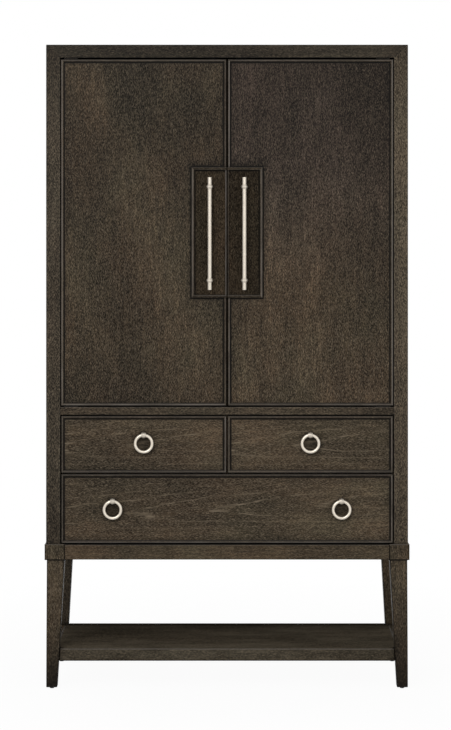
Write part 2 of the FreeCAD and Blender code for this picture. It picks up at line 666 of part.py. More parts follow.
def build_drawers():
    """Two small drawers over a wide one, with their runners and ring pulls."""
    outer = OPENING - BOX_CLEARANCE
    inner = HALF_PARTITION + BOX_CLEARANCE
    small_box = (DUST_TOP + BOX_CLEARANCE, DECK_BOTTOM - BOX_HEADROOM)
    wide_box = (FLOOR_TOP + BOX_CLEARANCE, DUST_BOTTOM - BOX_HEADROOM)
    small_runner = (sum(small_box) - RUNNER_HEIGHT) / 2
    wide_runner = (sum(wide_box) - RUNNER_HEIGHT) / 2
    small_stud = (SMALL_BOTTOM + SMALL_TOP) / 2 + SMALL_RING_ABOVE_CENTRE + RING_RADIUS
    wide_stud = (WIDE_BOTTOM + WIDE_TOP) / 2 - WIDE_RING_BELOW_CENTRE + RING_RADIUS
    small_ring = (FRONT_INNER + FRONT_OUTER) / 2

    front, beads = front_with_bead(
        (FRONT_INNER, FRONT_OUTER), (SMALL_BOTTOM, SMALL_TOP), [(small_ring, small_stud)]
    )
    box_pieces, bottom = drawer_box((inner, outer), small_box, small_runner)
    small = {
        "drawer_front": [front],
        "drawer_beading": beads,
        "drawer_box": box_pieces,
        "drawer_bottom": [bottom],
        "ring_stud": [ring_stud(small_ring, small_stud), screw(small_ring, small_stud, FIELD)],
        "ring": [ring(small_ring, small_stud)],
    }
    for name, solids in small.items():
        save("right_" + name, *solids)
        save("left_" + name, *[mirrored(solid) for solid in solids])

    wide_rings = [-WIDE_RING_FROM_CENTRE, WIDE_RING_FROM_CENTRE]
    places = [(x, wide_stud) for x in wide_rings]
    front, beads = front_with_bead((-FRONT_OUTER, FRONT_OUTER), (WIDE_BOTTOM, WIDE_TOP), places)
    box_pieces, bottom = drawer_box((-outer, outer), wide_box, wide_runner)
    save("wide_drawer_front", front)
    save("wide_drawer_beading", *beads)
    save("wide_drawer_box", *box_pieces)
    save("wide_drawer_bottom", bottom)
    save(
        "wide_ring_studs",
        *[ring_stud(x, z) for x, z in places],
        *[screw(x, z, FIELD) for x, z in places],
    )
    save("wide_left_ring", ring(*places[0]))
    save("wide_right_ring", ring(*places[1]))

    runners = [
        runner((outer - RUNNER_BITE, INNER_SIDE), small_runner),
        runner((HALF_PARTITION, inner + RUNNER_BITE), small_runner),
        runner((outer - RUNNER_BITE, INNER_SIDE), wide_runner),
    ]
    save("drawer_runners", *runners, *[mirrored(piece) for piece in runners])


def main():
    os.makedirs("parts", exist_ok=True)
    build_base()
    build_case()
    build_inner_fittings()
    build_doors()
    build_drawers()


if __name__ == "__main__":
    main()
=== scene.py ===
import math
from typing import NamedTuple

import bmesh
import bpy
from bpy.props import FloatProperty, FloatVectorProperty, PointerProperty
from bpy.types import NodeSocket, Operator, Panel, PropertyGroup
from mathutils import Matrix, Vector, noise


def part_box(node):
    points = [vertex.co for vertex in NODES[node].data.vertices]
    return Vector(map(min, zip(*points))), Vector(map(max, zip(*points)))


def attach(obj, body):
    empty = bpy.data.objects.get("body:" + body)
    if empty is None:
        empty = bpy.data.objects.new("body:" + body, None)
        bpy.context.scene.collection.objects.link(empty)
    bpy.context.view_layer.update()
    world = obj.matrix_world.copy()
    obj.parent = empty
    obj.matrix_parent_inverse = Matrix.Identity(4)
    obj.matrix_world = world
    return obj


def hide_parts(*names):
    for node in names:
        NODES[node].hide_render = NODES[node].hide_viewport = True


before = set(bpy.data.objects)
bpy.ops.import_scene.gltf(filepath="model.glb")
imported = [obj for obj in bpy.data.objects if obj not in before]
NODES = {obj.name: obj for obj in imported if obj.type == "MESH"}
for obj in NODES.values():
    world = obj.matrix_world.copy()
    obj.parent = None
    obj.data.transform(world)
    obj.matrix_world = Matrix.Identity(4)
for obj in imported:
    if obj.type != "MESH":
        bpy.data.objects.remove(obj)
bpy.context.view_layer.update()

bl_info = {
    "name": "Bar Armoire",
    "version": (1, 0, 0),
    "blender": (4, 5, 0),
    "location": "View3D > Sidebar > Armoire",
    "description": "Finishes a tall bar armoire in smoked wood and champagne metal on a pale stage",
    "category": "Object",
}

# Directions
AXES = "XYZ"
RIGHT = Vector((1.0, 0.0, 0.0))
UP = Vector((0.0, 0.0, 1.0))
OUT = Vector((0.0, -1.0, 0.0))

# Groups of like nodes
RIGHT_LEGS = ("front_right_leg", "rear_right_leg")
SIDES = ("left_side", "right_side")
DEEP_BOARDS = ("left_apron", "right_apron", "shelf_stretchers")
INNER_ACROSS = ("bar_deck", "upper_shelf", "middle_shelf", "bottle_cradles", "case_bottom")
INNER_DEEP = ("stemware_rails",)
DOORS = ("left_door", "right_door")
DRAWER_RINGS = {
    "left_drawer": ("left_ring",),
    "right_drawer": ("right_ring",),
    "wide_drawer": ("wide_left_ring", "wide_right_ring"),
}
BAR_NODES = ("left_bar_pull", "right_bar_pull")
RING_NODES = ("left_ring", "right_ring", "wide_left_ring", "wide_right_ring")
STUD_NODES = ("left_ring_stud", "right_ring_stud", "wide_ring_studs")
STEEL_NODES = ("pivot_plates", "left_pivot_sockets", "right_pivot_sockets", "shelf_pins")
BLACK_NODES = ("floor_glides", "door_catches")

# Painted details, in metres: painted shade in the apron groove and in holes, and screw heads
APRON_GROOVE = 0.0025
DOT_RADIUS = 0.0031
SCREW_INSET = 0.014
SCREWS_UP = 9
SCREWS_ACROSS = 6
HOLE_PITCH = 0.032
HOLES_EACH_WAY = 3

# Ends of a bead strip
MITRED = (True, True)
SQUARE = (False, False)

# What every colour property shares, and every length
COLOUR = {"subtype": "COLOR", "size": 4, "min": 0.0, "max": 1.0}
LENGTH = {"unit": "LENGTH", "min": 0.00001}


class ArmoireWood(PropertyGroup):
    """Colours and surface of the smoked wood and of the paler drawer wood."""

    cool: FloatVectorProperty(
        name="Cool tone", description="Grey brown side of the stain",
        default=(0.0256, 0.0200, 0.0118, 1.0), **COLOUR,
    )
    warm: FloatVectorProperty(
        name="Warm tone", description="Red brown side of the stain",
        default=(0.0342, 0.0227, 0.0133, 1.0), **COLOUR,
    )
    ash: FloatVectorProperty(
        name="Ash tone", description="Grey of the boards that show less red",
        default=(0.0272, 0.0239, 0.0180, 1.0), **COLOUR,
    )
    mauve: FloatVectorProperty(
        name="Mauve tone", description="Cooler stain towards the head of a door",
        default=(0.0300, 0.0212, 0.0190, 1.0), **COLOUR,
    )
    fleck: FloatVectorProperty(
        name="Fleck", description="Pale filler left in the open pores",
        default=(0.165, 0.130, 0.090, 1.0), **COLOUR,
    )
    # Dark glaze, and painted shade in corners, beside beads and on edges that face down
    glaze_and_shade: FloatVectorProperty(
        name="Glaze", description="Dark glaze that stays in the corners",
        default=(0.0045, 0.0038, 0.0030, 1.0), **COLOUR,
    )
    # Paler wood of rubbed edges, also the colour of painted highlights on bead crests and on edges that
    # face up
    worn_and_lit: FloatVectorProperty(
        name="Worn edge", description="Paler wood where edges are rubbed through",
        default=(0.137, 0.121, 0.105, 1.0), **COLOUR,
    )
    drawer_pale: FloatVectorProperty(
        name="Pale drawer wood", description="Lighter streaks of the drawer boxes",
        default=(0.36, 0.255, 0.155, 1.0), **COLOUR,
    )
    drawer_deep: FloatVectorProperty(
        name="Deep drawer wood", description="Darker streaks of the drawer boxes",
        default=(0.235, 0.155, 0.088, 1.0), **COLOUR,
    )
    roughness: FloatProperty(
        name="Roughness", description="Satin of the finish", subtype="FACTOR",
        min=0.0, max=1.0, default=0.46,
    )
    edge_round: FloatProperty(
        name="Edge rounding", description="How far the board edges are eased", default=0.0011, **LENGTH,
    )


class ArmoireMetal(PropertyGroup):
    """Colours of the pulls, the hidden fittings and the black plastic."""

    champagne: FloatVectorProperty(
        name="Champagne", description="Pale satin metal of the pulls",
        default=(0.575, 0.520, 0.440, 1.0), **COLOUR,
    )
    tarnish: FloatVectorProperty(
        name="Tarnish", description="Slightly deeper metal in the handled patches",
        default=(0.49, 0.430, 0.350, 1.0), **COLOUR,
    )
    crease: FloatVectorProperty(
        name="Crease", description="Brown that stays where metal pieces meet",
        default=(0.20, 0.15, 0.105, 1.0), **COLOUR,
    )
    steel: FloatVectorProperty(
        name="Steel", description="Blackened steel of the pivots and shelf pins",
        default=(0.020, 0.018, 0.016, 1.0), **COLOUR,
    )
    steel_deep: FloatVectorProperty(
        name="Deep steel", description="Darker brushing of that steel",
        default=(0.008, 0.0075, 0.007, 1.0), **COLOUR,
    )
    screw: FloatVectorProperty(
        name="Screw", description="Screw heads of the back panel",
        default=(0.22, 0.20, 0.17, 1.0), **COLOUR,
    )
    black: FloatVectorProperty(
        name="Black", description="Glides and catches",
        default=(0.012, 0.012, 0.013, 1.0), **COLOUR,
    )
    black_grain: FloatVectorProperty(
        name="Black grain", description="Lighter grain of the moulded black",
        default=(0.035, 0.034, 0.033, 1.0), **COLOUR,
    )


class ArmoireBead(PropertyGroup):
    """Sizes of the raised beads round the doors, drawers and handle plates."""

    front_width: FloatProperty(
        name="Front bead width", description="Bead round the doors and drawers", default=0.009, **LENGTH,
    )
    plate_width: FloatProperty(
        name="Plate bead width", description="Bead round the handle plates", default=0.010, **LENGTH,
    )
    front_nose: FloatProperty(
        name="Front bead nose", description="Rounding of the bead's front edges", default=0.003, **LENGTH,
    )
    plate_nose: FloatProperty(
        name="Plate bead nose", description="Rounding of the plate bead's front edges",
        default=0.002, **LENGTH,
    )
    lip_width: FloatProperty(
        name="Plate lip width", description="Rounded lip where the two handle plates meet",
        default=0.0042, **LENGTH,
    )
    lip_rise: FloatProperty(
        name="Plate lip rise", description="How far that lip stands out", default=0.0016, **LENGTH,
    )
    station: FloatProperty(
        name="Station", description="Length of one hand-planed stretch of a bead", default=0.035, **LENGTH,
    )
    waver: FloatProperty(
        name="Waver", description="How far a hand-planed bead wanders", default=0.00018, **LENGTH,
    )


class ArmoireStage(PropertyGroup):
    """Camera and light of the pale studio."""

    camera_place: FloatVectorProperty(
        name="Camera place", description="Where the camera stands", subtype="TRANSLATION", size=3,
        default=(-0.0048, -7.975, 1.4665),
    )
    lens: FloatProperty(
        name="Lens", description="Focal length in millimetres", min=20.0, max=400.0, default=124.12,
    )
    lens_shift: FloatProperty(
        name="Lens shift", description="Vertical shift of the lens", min=-1.0, max=1.0, default=-0.2096,
    )
    ambient: FloatProperty(
        name="Ambient", description="Strength of the soft light from all round",
        min=0.0, max=2.0, default=0.42,
    )
    key_power: FloatProperty(
        name="Key power", description="Soft light from the upper left", unit="POWER",
        min=0.0, max=2000.0, default=146.0,
    )
    fill_power: FloatProperty(
        name="Fill power", description="Large soft light from the front right", unit="POWER",
        min=0.0, max=2000.0, default=50.0,
    )
    floor_shadow: FloatProperty(
        name="Floor shadow", description="How much of the shadow the floor keeps", subtype="FACTOR",
        min=0.0, max=1.0, default=0.045,
    )


def settings(group):
    """One of the add-on's property groups on the scene."""
    return getattr(bpy.context.scene, "armoire_" + group)


# Shader helpers

def add(tree, kind, inputs=None, **values):
    """A shader node of one kind with its settings, and its inputs set or linked."""
    node = tree.nodes.new("ShaderNode" + kind)
    for name, value in values.items():
        setattr(node, name, value)
    for name, value in (inputs or {}).items():
        socket = node.inputs[name]
        if isinstance(value, NodeSocket):
            tree.links.new(value, socket)
        else:
            socket.default_value = value
    return node


def blank_material(name):
    """A new material with one principled surface, its tree and that surface."""
    material = bpy.data.materials.new(name)
    material.use_nodes = True
    tree = material.node_tree
    tree.nodes.clear()
    surface = tree.nodes.new("ShaderNodeBsdfPrincipled")
    output = tree.nodes.new("ShaderNodeOutputMaterial")
    tree.links.new(surface.outputs["BSDF"], output.inputs["Surface"])
    return material, tree, surface


def blended(tree, factor, first, second, how="MIX"):
    """Two colours mixed by a factor."""
    node = add(tree, "Mix", {0: factor, 6: first, 7: second}, data_type="RGBA", blend_type=how)
    return node.outputs[2]


def ranged(tree, value, low, high, out_low, out_high):
    """A value carried from one range to another and held at its ends."""
    node = add(
        tree, "MapRange",
        {"Value": value, "From Min": low, "From Max": high, "To Min": out_low, "To Max": out_high},
    )
    return node.outputs[0]


def combined(tree, how, *values):
    """Values put together in turn, such as added up or with the largest kept."""
    total = values[0]
    for value in values[1:]:
        total = add(tree, "Math", {0: total, 1: value}, operation=how).outputs[0]
    return total


def product(tree, *values):
    """Values multiplied in turn."""
    return combined(tree, "MULTIPLY", *values)


def difference(tree, first, second):
    """The first value less the second."""
    return combined(tree, "SUBTRACT", first, second)


def unsigned(tree, value):
    """A value without its sign."""
    return add(tree, "Math", {0: value}, operation="ABSOLUTE").outputs[0]


def own_place(tree):
    """Places on a piece, which move with it."""
    return add(tree, "TexCoord").outputs["Object"]


def split(tree, place):
    """The X, Y and Z of a place."""
    return dict(zip(AXES, add(tree, "SeparateXYZ", {0: place}).outputs))


def flat_distance(tree, aside, above):
    """Distance from a point, from the steps to it along two axes."""
    flat = add(tree, "CombineXYZ", {0: aside, 1: above}).outputs[0]
    return add(tree, "VectorMath", {0: flat}, operation="LENGTH").outputs["Value"]


def coat(tree, surface, colour, roughness):
    """Give a surface its colour and roughness."""
    tree.links.new(colour, surface.inputs["Base Color"])
    tree.links.new(roughness, surface.inputs["Roughness"])


def raise_grain(tree, surface, height, strength, depth, sunk=False):
    """Fine relief of a surface."""
    relief = {"Height": height, "Strength": strength, "Distance": depth}
    bump = add(tree, "Bump", relief, invert=sunk)
    tree.links.new(bump.outputs[0], surface.inputs["Normal"])


# Grain

class Pattern(NamedTuple):
    """One layer of noise, the span of it that counts, and how far it moves a tone down and up."""

    stretch: float
    scale: float
    detail: float
    roughness: float = 0.5
    distortion: float = 0.0
    span: tuple = (0.3, 0.7)
    fall: float = 0.0
    rise: float = 0.0


GRAIN = {
    "patches": Pattern(2.2, 3.6, 3.0, 0.55, span=(0.32, 0.68), fall=0.5, rise=0.46),
    "mottle": Pattern(3.5, 21.0, 3.0, 0.6, span=(0.3, 0.7), fall=0.34, rise=0.34),
    "hue": Pattern(1.6, 6.0, 4.0, 0.6, span=(0.36, 0.64)),
    "streaks": Pattern(20.0, 150.0, 3.0, 0.6, 0.2, span=(0.28, 0.72), fall=0.24, rise=0.24),
    "fibres": Pattern(18.0, 620.0, 2.0, 0.6, span=(0.36, 0.64), fall=0.3, rise=0.3),
    "speckle": Pattern(5.0, 820.0, 1.0, span=(0.45, 0.68), fall=0.52, rise=1.7),
    "pores": Pattern(12.0, 1150.0, 2.0, 0.6, span=(0.44, 0.66)),
}
CLUSTER_SPAN = (0.44, 0.6)
BOARD_STEP = (3.7, 2.9, 4.3)
OFF_LATTICE = (0.55, 0.65, 0.45)
RING_LEAN = 0.05
RING_STRETCH = 5.0
HEART_RINGS = 22.0
PLAIN_RINGS = 18.0
HEART_BAND = (0.02, 0.07)


def board_place(tree):
    """Places on a board, moved by chance so that no two boards share their grain."""
    chance = add(tree, "ObjectInfo").outputs["Random"]
    step = add(tree, "VectorMath", {0: BOARD_STEP, "Scale": chance}, operation="SCALE")
    places = {0: own_place(tree), 1: step.outputs[0]}
    return add(tree, "VectorMath", places, operation="ADD").outputs[0]


def squeezed(axis, stretch):
    """Scale that draws a pattern out along one axis."""
    scale = [1.0, 1.0, 1.0]
    scale[AXES.index(axis)] = 1.0 / stretch
    return scale


def cloud(tree, place, axis, pattern):
    """Soft noise from 0 to 1, drawn out along the grain."""
    turned = add(
        tree, "Mapping",
        {"Vector": place, "Scale": squeezed(axis, pattern.stretch), "Rotation": OFF_LATTICE},
    )
    node = add(
        tree, "TexNoise",
        {
            "Vector": turned.outputs[0], "Scale": pattern.scale, "Detail": pattern.detail,
            "Roughness": pattern.roughness, "Distortion": pattern.distortion,
        },
    )
    return node.outputs[0]


def toned(tree, layer, pattern, strength=1.0):
    """A tone about 1 that a layer of noise moves down and up."""
    least, most = 1.0 - pattern.fall * strength, 1.0 + pattern.rise * strength
    return ranged(tree, layer, *pattern.span, least, most)


def growth_rings(tree, place, axis, scale):
    """Arched figure of a flat-sawn board, from rings about a line that leans off the grain."""
    turns = [RING_LEAN, RING_LEAN, RING_LEAN]
    turns[AXES.index(axis)] = 0.0
    tilted = add(tree, "Mapping", {"Vector": place, "Rotation": turns}).outputs[0]
    drawn = add(tree, "Mapping", {"Vector": tilted, "Scale": squeezed(axis, RING_STRETCH)})
    node = add(
        tree, "TexWave",
        {
            "Vector": drawn.outputs[0], "Scale": scale, "Distortion": 3.0,
            "Detail": 3.0, "Detail Scale": 1.2, "Detail Roughness": 0.6,
        },
        wave_type="RINGS", rings_direction=axis,
    )
    return node.outputs["Fac"]


# Smoked wood

class Fade(NamedTuple):
    """A stretch along one axis painted darker as shade, from full tone at its end to the least tone at its
    start.
    """

    axis: str
    start: float
    end: float
    least: float


class BoardLook(NamedTuple):
    """How the smoked finish of one board differs from the plain one."""

    # Strength of the stain, of its pale pores, its streaks and its broad patches; on lit and shaded copies
    # of one wood the stain's strength also carries painted light and shade
    shade: float = 1.0
    speck: float = 0.7
    streak: float = 1.0
    patchy: float = 1.0
    # Share of the ash tone, and the heights between which the mauve tone comes in
    ash: float = 0.0
    cool_head: tuple = ()
    # Centre of an arched figure, and how strongly growth rings show
    heart: tuple = ()
    figure: float = 0.2
    # Stretches painted darker as shade, and rings whose painted shadows darken the front behind them
    fades: tuple = ()
    pulls: tuple = ()
    # Corners of a beaded front and the width of its bead, and the darker tone of glaze and painted shade
    # beside it and its reach
    rim: tuple = ()
    rim_shade: float = 0.8
    rim_reach: float = 0.018
    # Corners of a handle plate on the front
    plate: tuple = ()
    # Painted highlight on edges that face up and sideways, painted shade in corners, and shine
    rub: float = 0.75
    side_rub: float = 0.0
    grime: float = 1.0
    sheen: float = 1.0
    # Rows of holes painted in shade, or of screw heads with painted shade in their recess
    holes: tuple = ()
    screws: tuple = ()


# Bands of painted shade above a handle plate, behind a ring and round a plate, in metres between the
# darkest and the full tone, with the darkest tone
HEAD_BAND = (0.004, 0.034, 0.25)
RING_BAND = (0.013, 0.046, 0.42)
PLATE_BAND = (0.0, 0.012, 0.7)

# The painted shadow line beside a bead, which over a sill starts partway under the bead
LINE_OUTER = (-0.006, -0.003)
LINE_INNER = (0.0026, 0.0040)
LINE_SHADE = 0.95
SILL_SHARE = 0.5

# Spans of a pattern, a facing or a corner over which a mark comes in
RING_LINE_SPAN = (0.955, 1.0)
BROKEN_SPAN = (0.42, 0.62)
WORN_SPAN = (0.35, 0.6)
EDGE_SPAN = (0.975, 0.925)
UPWARD_SPAN = (0.1, 0.5)
DOWNWARD_SPAN = (0.3, -0.05)
CORNER_SPAN = (0.5, 0.85)
SATIN_SPAN = (0.25, 0.75)

# Strongest share of a tone or of painted shade, and how far the painted shade of a corner reaches, in
# metres
MAUVE_SHARE = 0.65
EDGE_SHADE = 0.95
CORNER_SHADE = 0.92
CORNER_REACH = 0.012
CORNER_SAMPLES = 4
WOOD_SPECULAR = 0.07


def eased_edges(tree, board):
    """Masks of rounded edges: a painted highlight on those that face up, and on some boards sideways, and
    painted shade on those that face down.
    """
    facing = add(tree, "TexCoord").outputs["Normal"]
    sizes = add(tree, "VectorMath", {0: facing}, operation="ABSOLUTE").outputs[0]
    largest = combined(tree, "MAXIMUM", *split(tree, sizes).values())
    edge = ranged(tree, largest, *EDGE_SPAN, 0.0, 1.0)
    rise = split(tree, facing)["Z"]
    upper = product(tree, edge, ranged(tree, rise, *UPWARD_SPAN, board.side_rub, board.rub))
    lower = product(tree, edge, ranged(tree, rise, *DOWNWARD_SPAN, 0.0, EDGE_SHADE * board.grime))
    return upper, lower


def rim_distance(tree, low, high, inset):
    """How far a place on a front lies inside a bead that goes round its edges."""
    place = split(tree, own_place(tree))
    sides = (("X", low.x + inset, high.x - inset), ("Z", low.z + inset * SILL_SHARE, high.z - inset))
    gaps = []
    for axis, least, most in sides:
        gaps.append(difference(tree, place[axis], least))
        gaps.append(difference(tree, most, place[axis]))
    return combined(tree, "MINIMUM", *gaps)


def banded(tree, distance, band):
    """Tone that rises to 1 across a band."""
    start, end, darkest = band
    return ranged(tree, distance, start, end, darkest, 1.0)


def head_shade(tree, low, high):
    """Painted shade in a band on a door at the head of its handle plate."""
    place = split(tree, own_place(tree))
    above = unsigned(tree, difference(tree, place["Z"], high.z))
    before = difference(tree, low.x, place["X"])
    past = combined(tree, "MAXIMUM", before, difference(tree, place["X"], high.x))
    reach = combined(tree, "MAXIMUM", product(tree, past, 2.0), above)
    return banded(tree, reach, HEAD_BAND)


def ring_shade(tree, ring):
    """Painted shadow of a ring: a darker round patch on a drawer front behind it."""
    low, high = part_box(ring)
    middle = (low + high) / 2
    place = split(tree, own_place(tree))
    aside = difference(tree, place["X"], middle.x)
    above = difference(tree, place["Z"], middle.z)
    return banded(tree, flat_distance(tree, aside, above), RING_BAND)


def dot_distance(tree, rows):
    """Distance to the nearest dot of rows: axis across, line, axis along, first, last and count."""
    place = split(tree, own_place(tree))
    distances = []
    for across, line, along, first, last, count in rows:
        pitch = (last - first) / (count - 1)
        share = difference(tree, place[along], first)
        share = combined(tree, "DIVIDE", share, pitch)
        whole = add(tree, "Math", {0: share}, operation="ROUND").outputs[0]
        whole = ranged(tree, whole, 0.0, count - 1.0, 0.0, count - 1.0)
        ahead = product(tree, difference(tree, share, whole), pitch)
        aside = difference(tree, place[across], line)
        distances.append(flat_distance(tree, ahead, aside))
    return combined(tree, "MINIMUM", *distances)


def stain(tree, board, grain):
    """Colour of the stain before the grain makes it lighter and darker."""
    look = settings("wood")
    warmth = ranged(tree, grain["hue"], *GRAIN["hue"].span, 0.0, 1.0)
    colour = blended(tree, warmth, look.cool, look.warm)
    colour = blended(tree, board.ash, colour, look.ash)
    if board.cool_head:
        height = split(tree, own_place(tree))["Z"]
        cooled = ranged(tree, height, *board.cool_head, 0.0, MAUVE_SHARE)
        colour = blended(tree, cooled, colour, look.mauve)
    return colour


def ring_figure(tree, board, grain, axis, place):
    """Growth rings of a board, and the pale lines that they leave."""
    arched = 1.0
    if board.heart:
        centred = {0: own_place(tree), 1: board.heart}
        place = add(tree, "VectorMath", centred, operation="SUBTRACT").outputs[0]
        aside = split(tree, place)["X" if axis == "Z" else "Z"]
        arched = ranged(tree, unsigned(tree, aside), *HEART_BAND, 1.0, 0.2)
    rings = growth_rings(tree, place, axis, HEART_RINGS if board.heart else PLAIN_RINGS)
    lines = ranged(tree, rings, *RING_LINE_SPAN, 0.0, board.figure)
    broken = ranged(tree, grain["streaks"], *BROKEN_SPAN, 0.1, 1.0)
    return rings, product(tree, lines, broken, arched)


def pore_dashes(tree, grain):
    """Short pale dashes of filled pores, which gather in clusters."""
    dashes = ranged(tree, grain["pores"], *GRAIN["pores"].span, 0.0, 0.9)
    clusters = ranged(tree, grain["speckle"], *CLUSTER_SPAN, 0.0, 1.0)
    return product(tree, dashes, clusters)


def shadow_tones(tree, board):
    """Tones of the painted shade on a board's stretches and the painted shadows behind its rings, pale
    pores included.
    """
    tones = [ring_shade(tree, ring) for ring in board.pulls]
    for axis, start, end, least in board.fades:
        run = split(tree, own_place(tree))[axis]
        tones.append(ranged(tree, run, start, end, least, 1.0))
    return tones


def front_tones(tree, board):
    """Tones of glaze and painted shade beside the bead, and of painted shade round and above the handle
    plate of a front, and the distance to the nearest of them.
    """
    if not board.rim:
        return [], None
    nearest = rim_distance(tree, *board.rim)
    tones = [banded(tree, nearest, (0.0, board.rim_reach, board.rim_shade))]
    if board.plate:
        outside = product(tree, rim_distance(tree, *board.plate, 0.0), -1.0)
        tones.append(banded(tree, outside, PLATE_BAND))
        tones.append(head_shade(tree, *board.plate))
        nearest = combined(tree, "MINIMUM", nearest, outside)
    return tones, nearest


def rubbed_share(tree, grain, upper_edge):
    """Where the paler colour goes: wear with a painted highlight on bead crests, and a painted highlight on
    eased edges that face up.
    """
    carried = add(tree, "Attribute", attribute_name="wear_and_highlight").outputs["Fac"]
    carried = product(tree, carried, ranged(tree, grain["streaks"], *WORN_SPAN, 0.55, 1.0))
    return combined(tree, "MAXIMUM", carried, upper_edge)


def glaze_and_shade_share(tree, board, lower_edge, nearest, dots):
    """Where dark glaze and painted shade go: painted shade in corners, on edges that face down, in the line
    beside beads and in painted holes, and glaze with painted shade on the feet of beads.
    """
    corner = add(tree, "AmbientOcclusion", {"Distance": CORNER_REACH}, samples=CORNER_SAMPLES).outputs["AO"]
    foot_shade = add(tree, "Attribute", attribute_name="glaze_and_shade").outputs["Fac"]
    shares = [ranged(tree, corner, *CORNER_SPAN, CORNER_SHADE * board.grime, 0.0), foot_shade, lower_edge]
    if nearest:
        inner = ranged(tree, nearest, *LINE_INNER, LINE_SHADE, 0.0)
        outer = ranged(tree, nearest, *LINE_OUTER, 0.0, 1.0)
        shares.append(product(tree, inner, outer))
    if dots:
        sunk = ranged(tree, dots, DOT_RADIUS, 1.15 * DOT_RADIUS, 1.0, 0.0)
        shares.append(product(tree, sunk, inner_faces(tree)) if board.holes else sunk)
    return combined(tree, "MAXIMUM", *shares)


def inner_faces(tree):
    """1 on the faces of the case sides that look into the case, and 0 on the outer ones."""
    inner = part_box("case_bottom")[1].x
    aside = unsigned(tree, split(tree, own_place(tree))["X"])
    return ranged(tree, aside, inner + 0.001, inner + 0.003, 1.0, 0.0)


def screw_heads(tree, dots):
    """Bright screw heads, which leave the painted shade of the recess in their middle."""
    head = ranged(tree, dots, 0.8 * DOT_RADIUS, 0.9 * DOT_RADIUS, 1.0, 0.0)
    recess = ranged(tree, dots, 0.25 * DOT_RADIUS, 0.35 * DOT_RADIUS, 0.0, 1.0)
    return product(tree, head, recess)


def smoked_wood(name, axis, **changes):
    """Dark smoked wood with pale pores and soft mottling, painted shade in stretches, corners and beside
    beads, and painted highlights on worn edges.
    """
    look = settings("wood")
    board = BoardLook(**changes)
    material, tree, surface = blank_material("smoked_wood_" + name)
    place = board_place(tree)
    grain = {layer: cloud(tree, place, axis, pattern) for layer, pattern in GRAIN.items()}
    rings, lines = ring_figure(tree, board, grain, axis, place)
    dashes = pore_dashes(tree, grain)
    shadows = shadow_tones(tree, board)
    beside, nearest = front_tones(tree, board)
    strengths = {
        "mottle": 1.0, "patches": board.patchy, "streaks": board.streak, "fibres": board.streak,
        "speckle": board.speck,
    }
    tones = [toned(tree, grain[layer], GRAIN[layer], strength) for layer, strength in strengths.items()]
    tones.append(ranged(tree, rings, 0.0, 0.6, 1.0 - 0.25 * board.figure, 1.0))
    # The shadow and front tones in this product are painted shade
    level = product(tree, board.shade, *tones, *shadows, *beside)
    colour = blended(tree, 1.0, stain(tree, board, grain), level, "MULTIPLY")
    filled = combined(tree, "MAXIMUM", dashes, lines)
    brightness = board.shade * (0.45 + 0.55 * board.speck)
    colour = blended(tree, product(tree, filled, brightness, *shadows), colour, look.fleck)

    upper_edge, lower_edge = eased_edges(tree, board)
    rubbed = product(tree, rubbed_share(tree, grain, upper_edge), *shadows)
    colour = blended(tree, rubbed, colour, look.worn_and_lit)
    dot_rows = board.holes or board.screws
    dots = dot_distance(tree, dot_rows) if dot_rows else None
    colour = blended(tree, glaze_and_shade_share(tree, board, lower_edge, nearest, dots), colour, look.glaze_and_shade)
    if board.screws:
        heads = screw_heads(tree, dots)
        colour = blended(tree, heads, colour, settings("metal").screw)
        tree.links.new(heads, surface.inputs["Metallic"])

    satin = ranged(tree, grain["streaks"], *SATIN_SPAN, look.roughness - 0.05, look.roughness + 0.08)
    satin = combined(tree, "ADD", satin, product(tree, dashes, 0.15))
    coat(tree, surface, colour, satin)
    surface.inputs["Specular IOR Level"].default_value = WOOD_SPECULAR * board.sheen
    raise_grain(tree, surface, dashes, strength=0.25, depth=0.0005, sunk=True)
    return material


# Other finishes

DRAWER_STREAKS = Pattern(14.0, 60.0, 5.0, 0.6, 0.3)
DRAWER_FIBRE = Pattern(30.0, 520.0, 2.0, fall=0.1, rise=0.1)
DRAWER_BROAD = Pattern(9.0, 22.0, 2.0)
HANDLED = Pattern(1.0, 60.0, 3.0, 0.6, span=(0.45, 0.75))
PULL_BRUSHING = Pattern(0.08, 900.0, 2.0, span=(0.2, 0.8), fall=0.05, rise=0.05)
CREASE_SPAN = (0.35, 0.75)
CREASE_REACH = 0.006
STEEL_BRUSHING = Pattern(12.0, 1200.0, 2.0)
MOULDED_GRAIN = Pattern(1.0, 1500.0, 2.0)


def drawer_wood(name, axis):
    """Clear-finished pale wood of the drawer boxes and runners."""
    look = settings("wood")
    material, tree, surface = blank_material("drawer_wood_" + name)
    place = board_place(tree)
    streaks = cloud(tree, place, axis, DRAWER_STREAKS)
    fibre = cloud(tree, place, axis, DRAWER_FIBRE)
    broad = cloud(tree, place, axis, DRAWER_BROAD)
    halves = [product(tree, layer, 0.5) for layer in (broad, streaks)]
    figure = ranged(tree, combined(tree, "ADD", *halves), *DRAWER_STREAKS.span, 0.0, 1.0)
    colour = blended(tree, figure, look.drawer_deep, look.drawer_pale)
    colour = blended(tree, 1.0, colour, toned(tree, fibre, DRAWER_FIBRE), "MULTIPLY")
    coat(tree, surface, colour, ranged(tree, streaks, *SATIN_SPAN, 0.42, 0.55))
    raise_grain(tree, surface, fibre, strength=0.15, depth=0.0004)
    return material


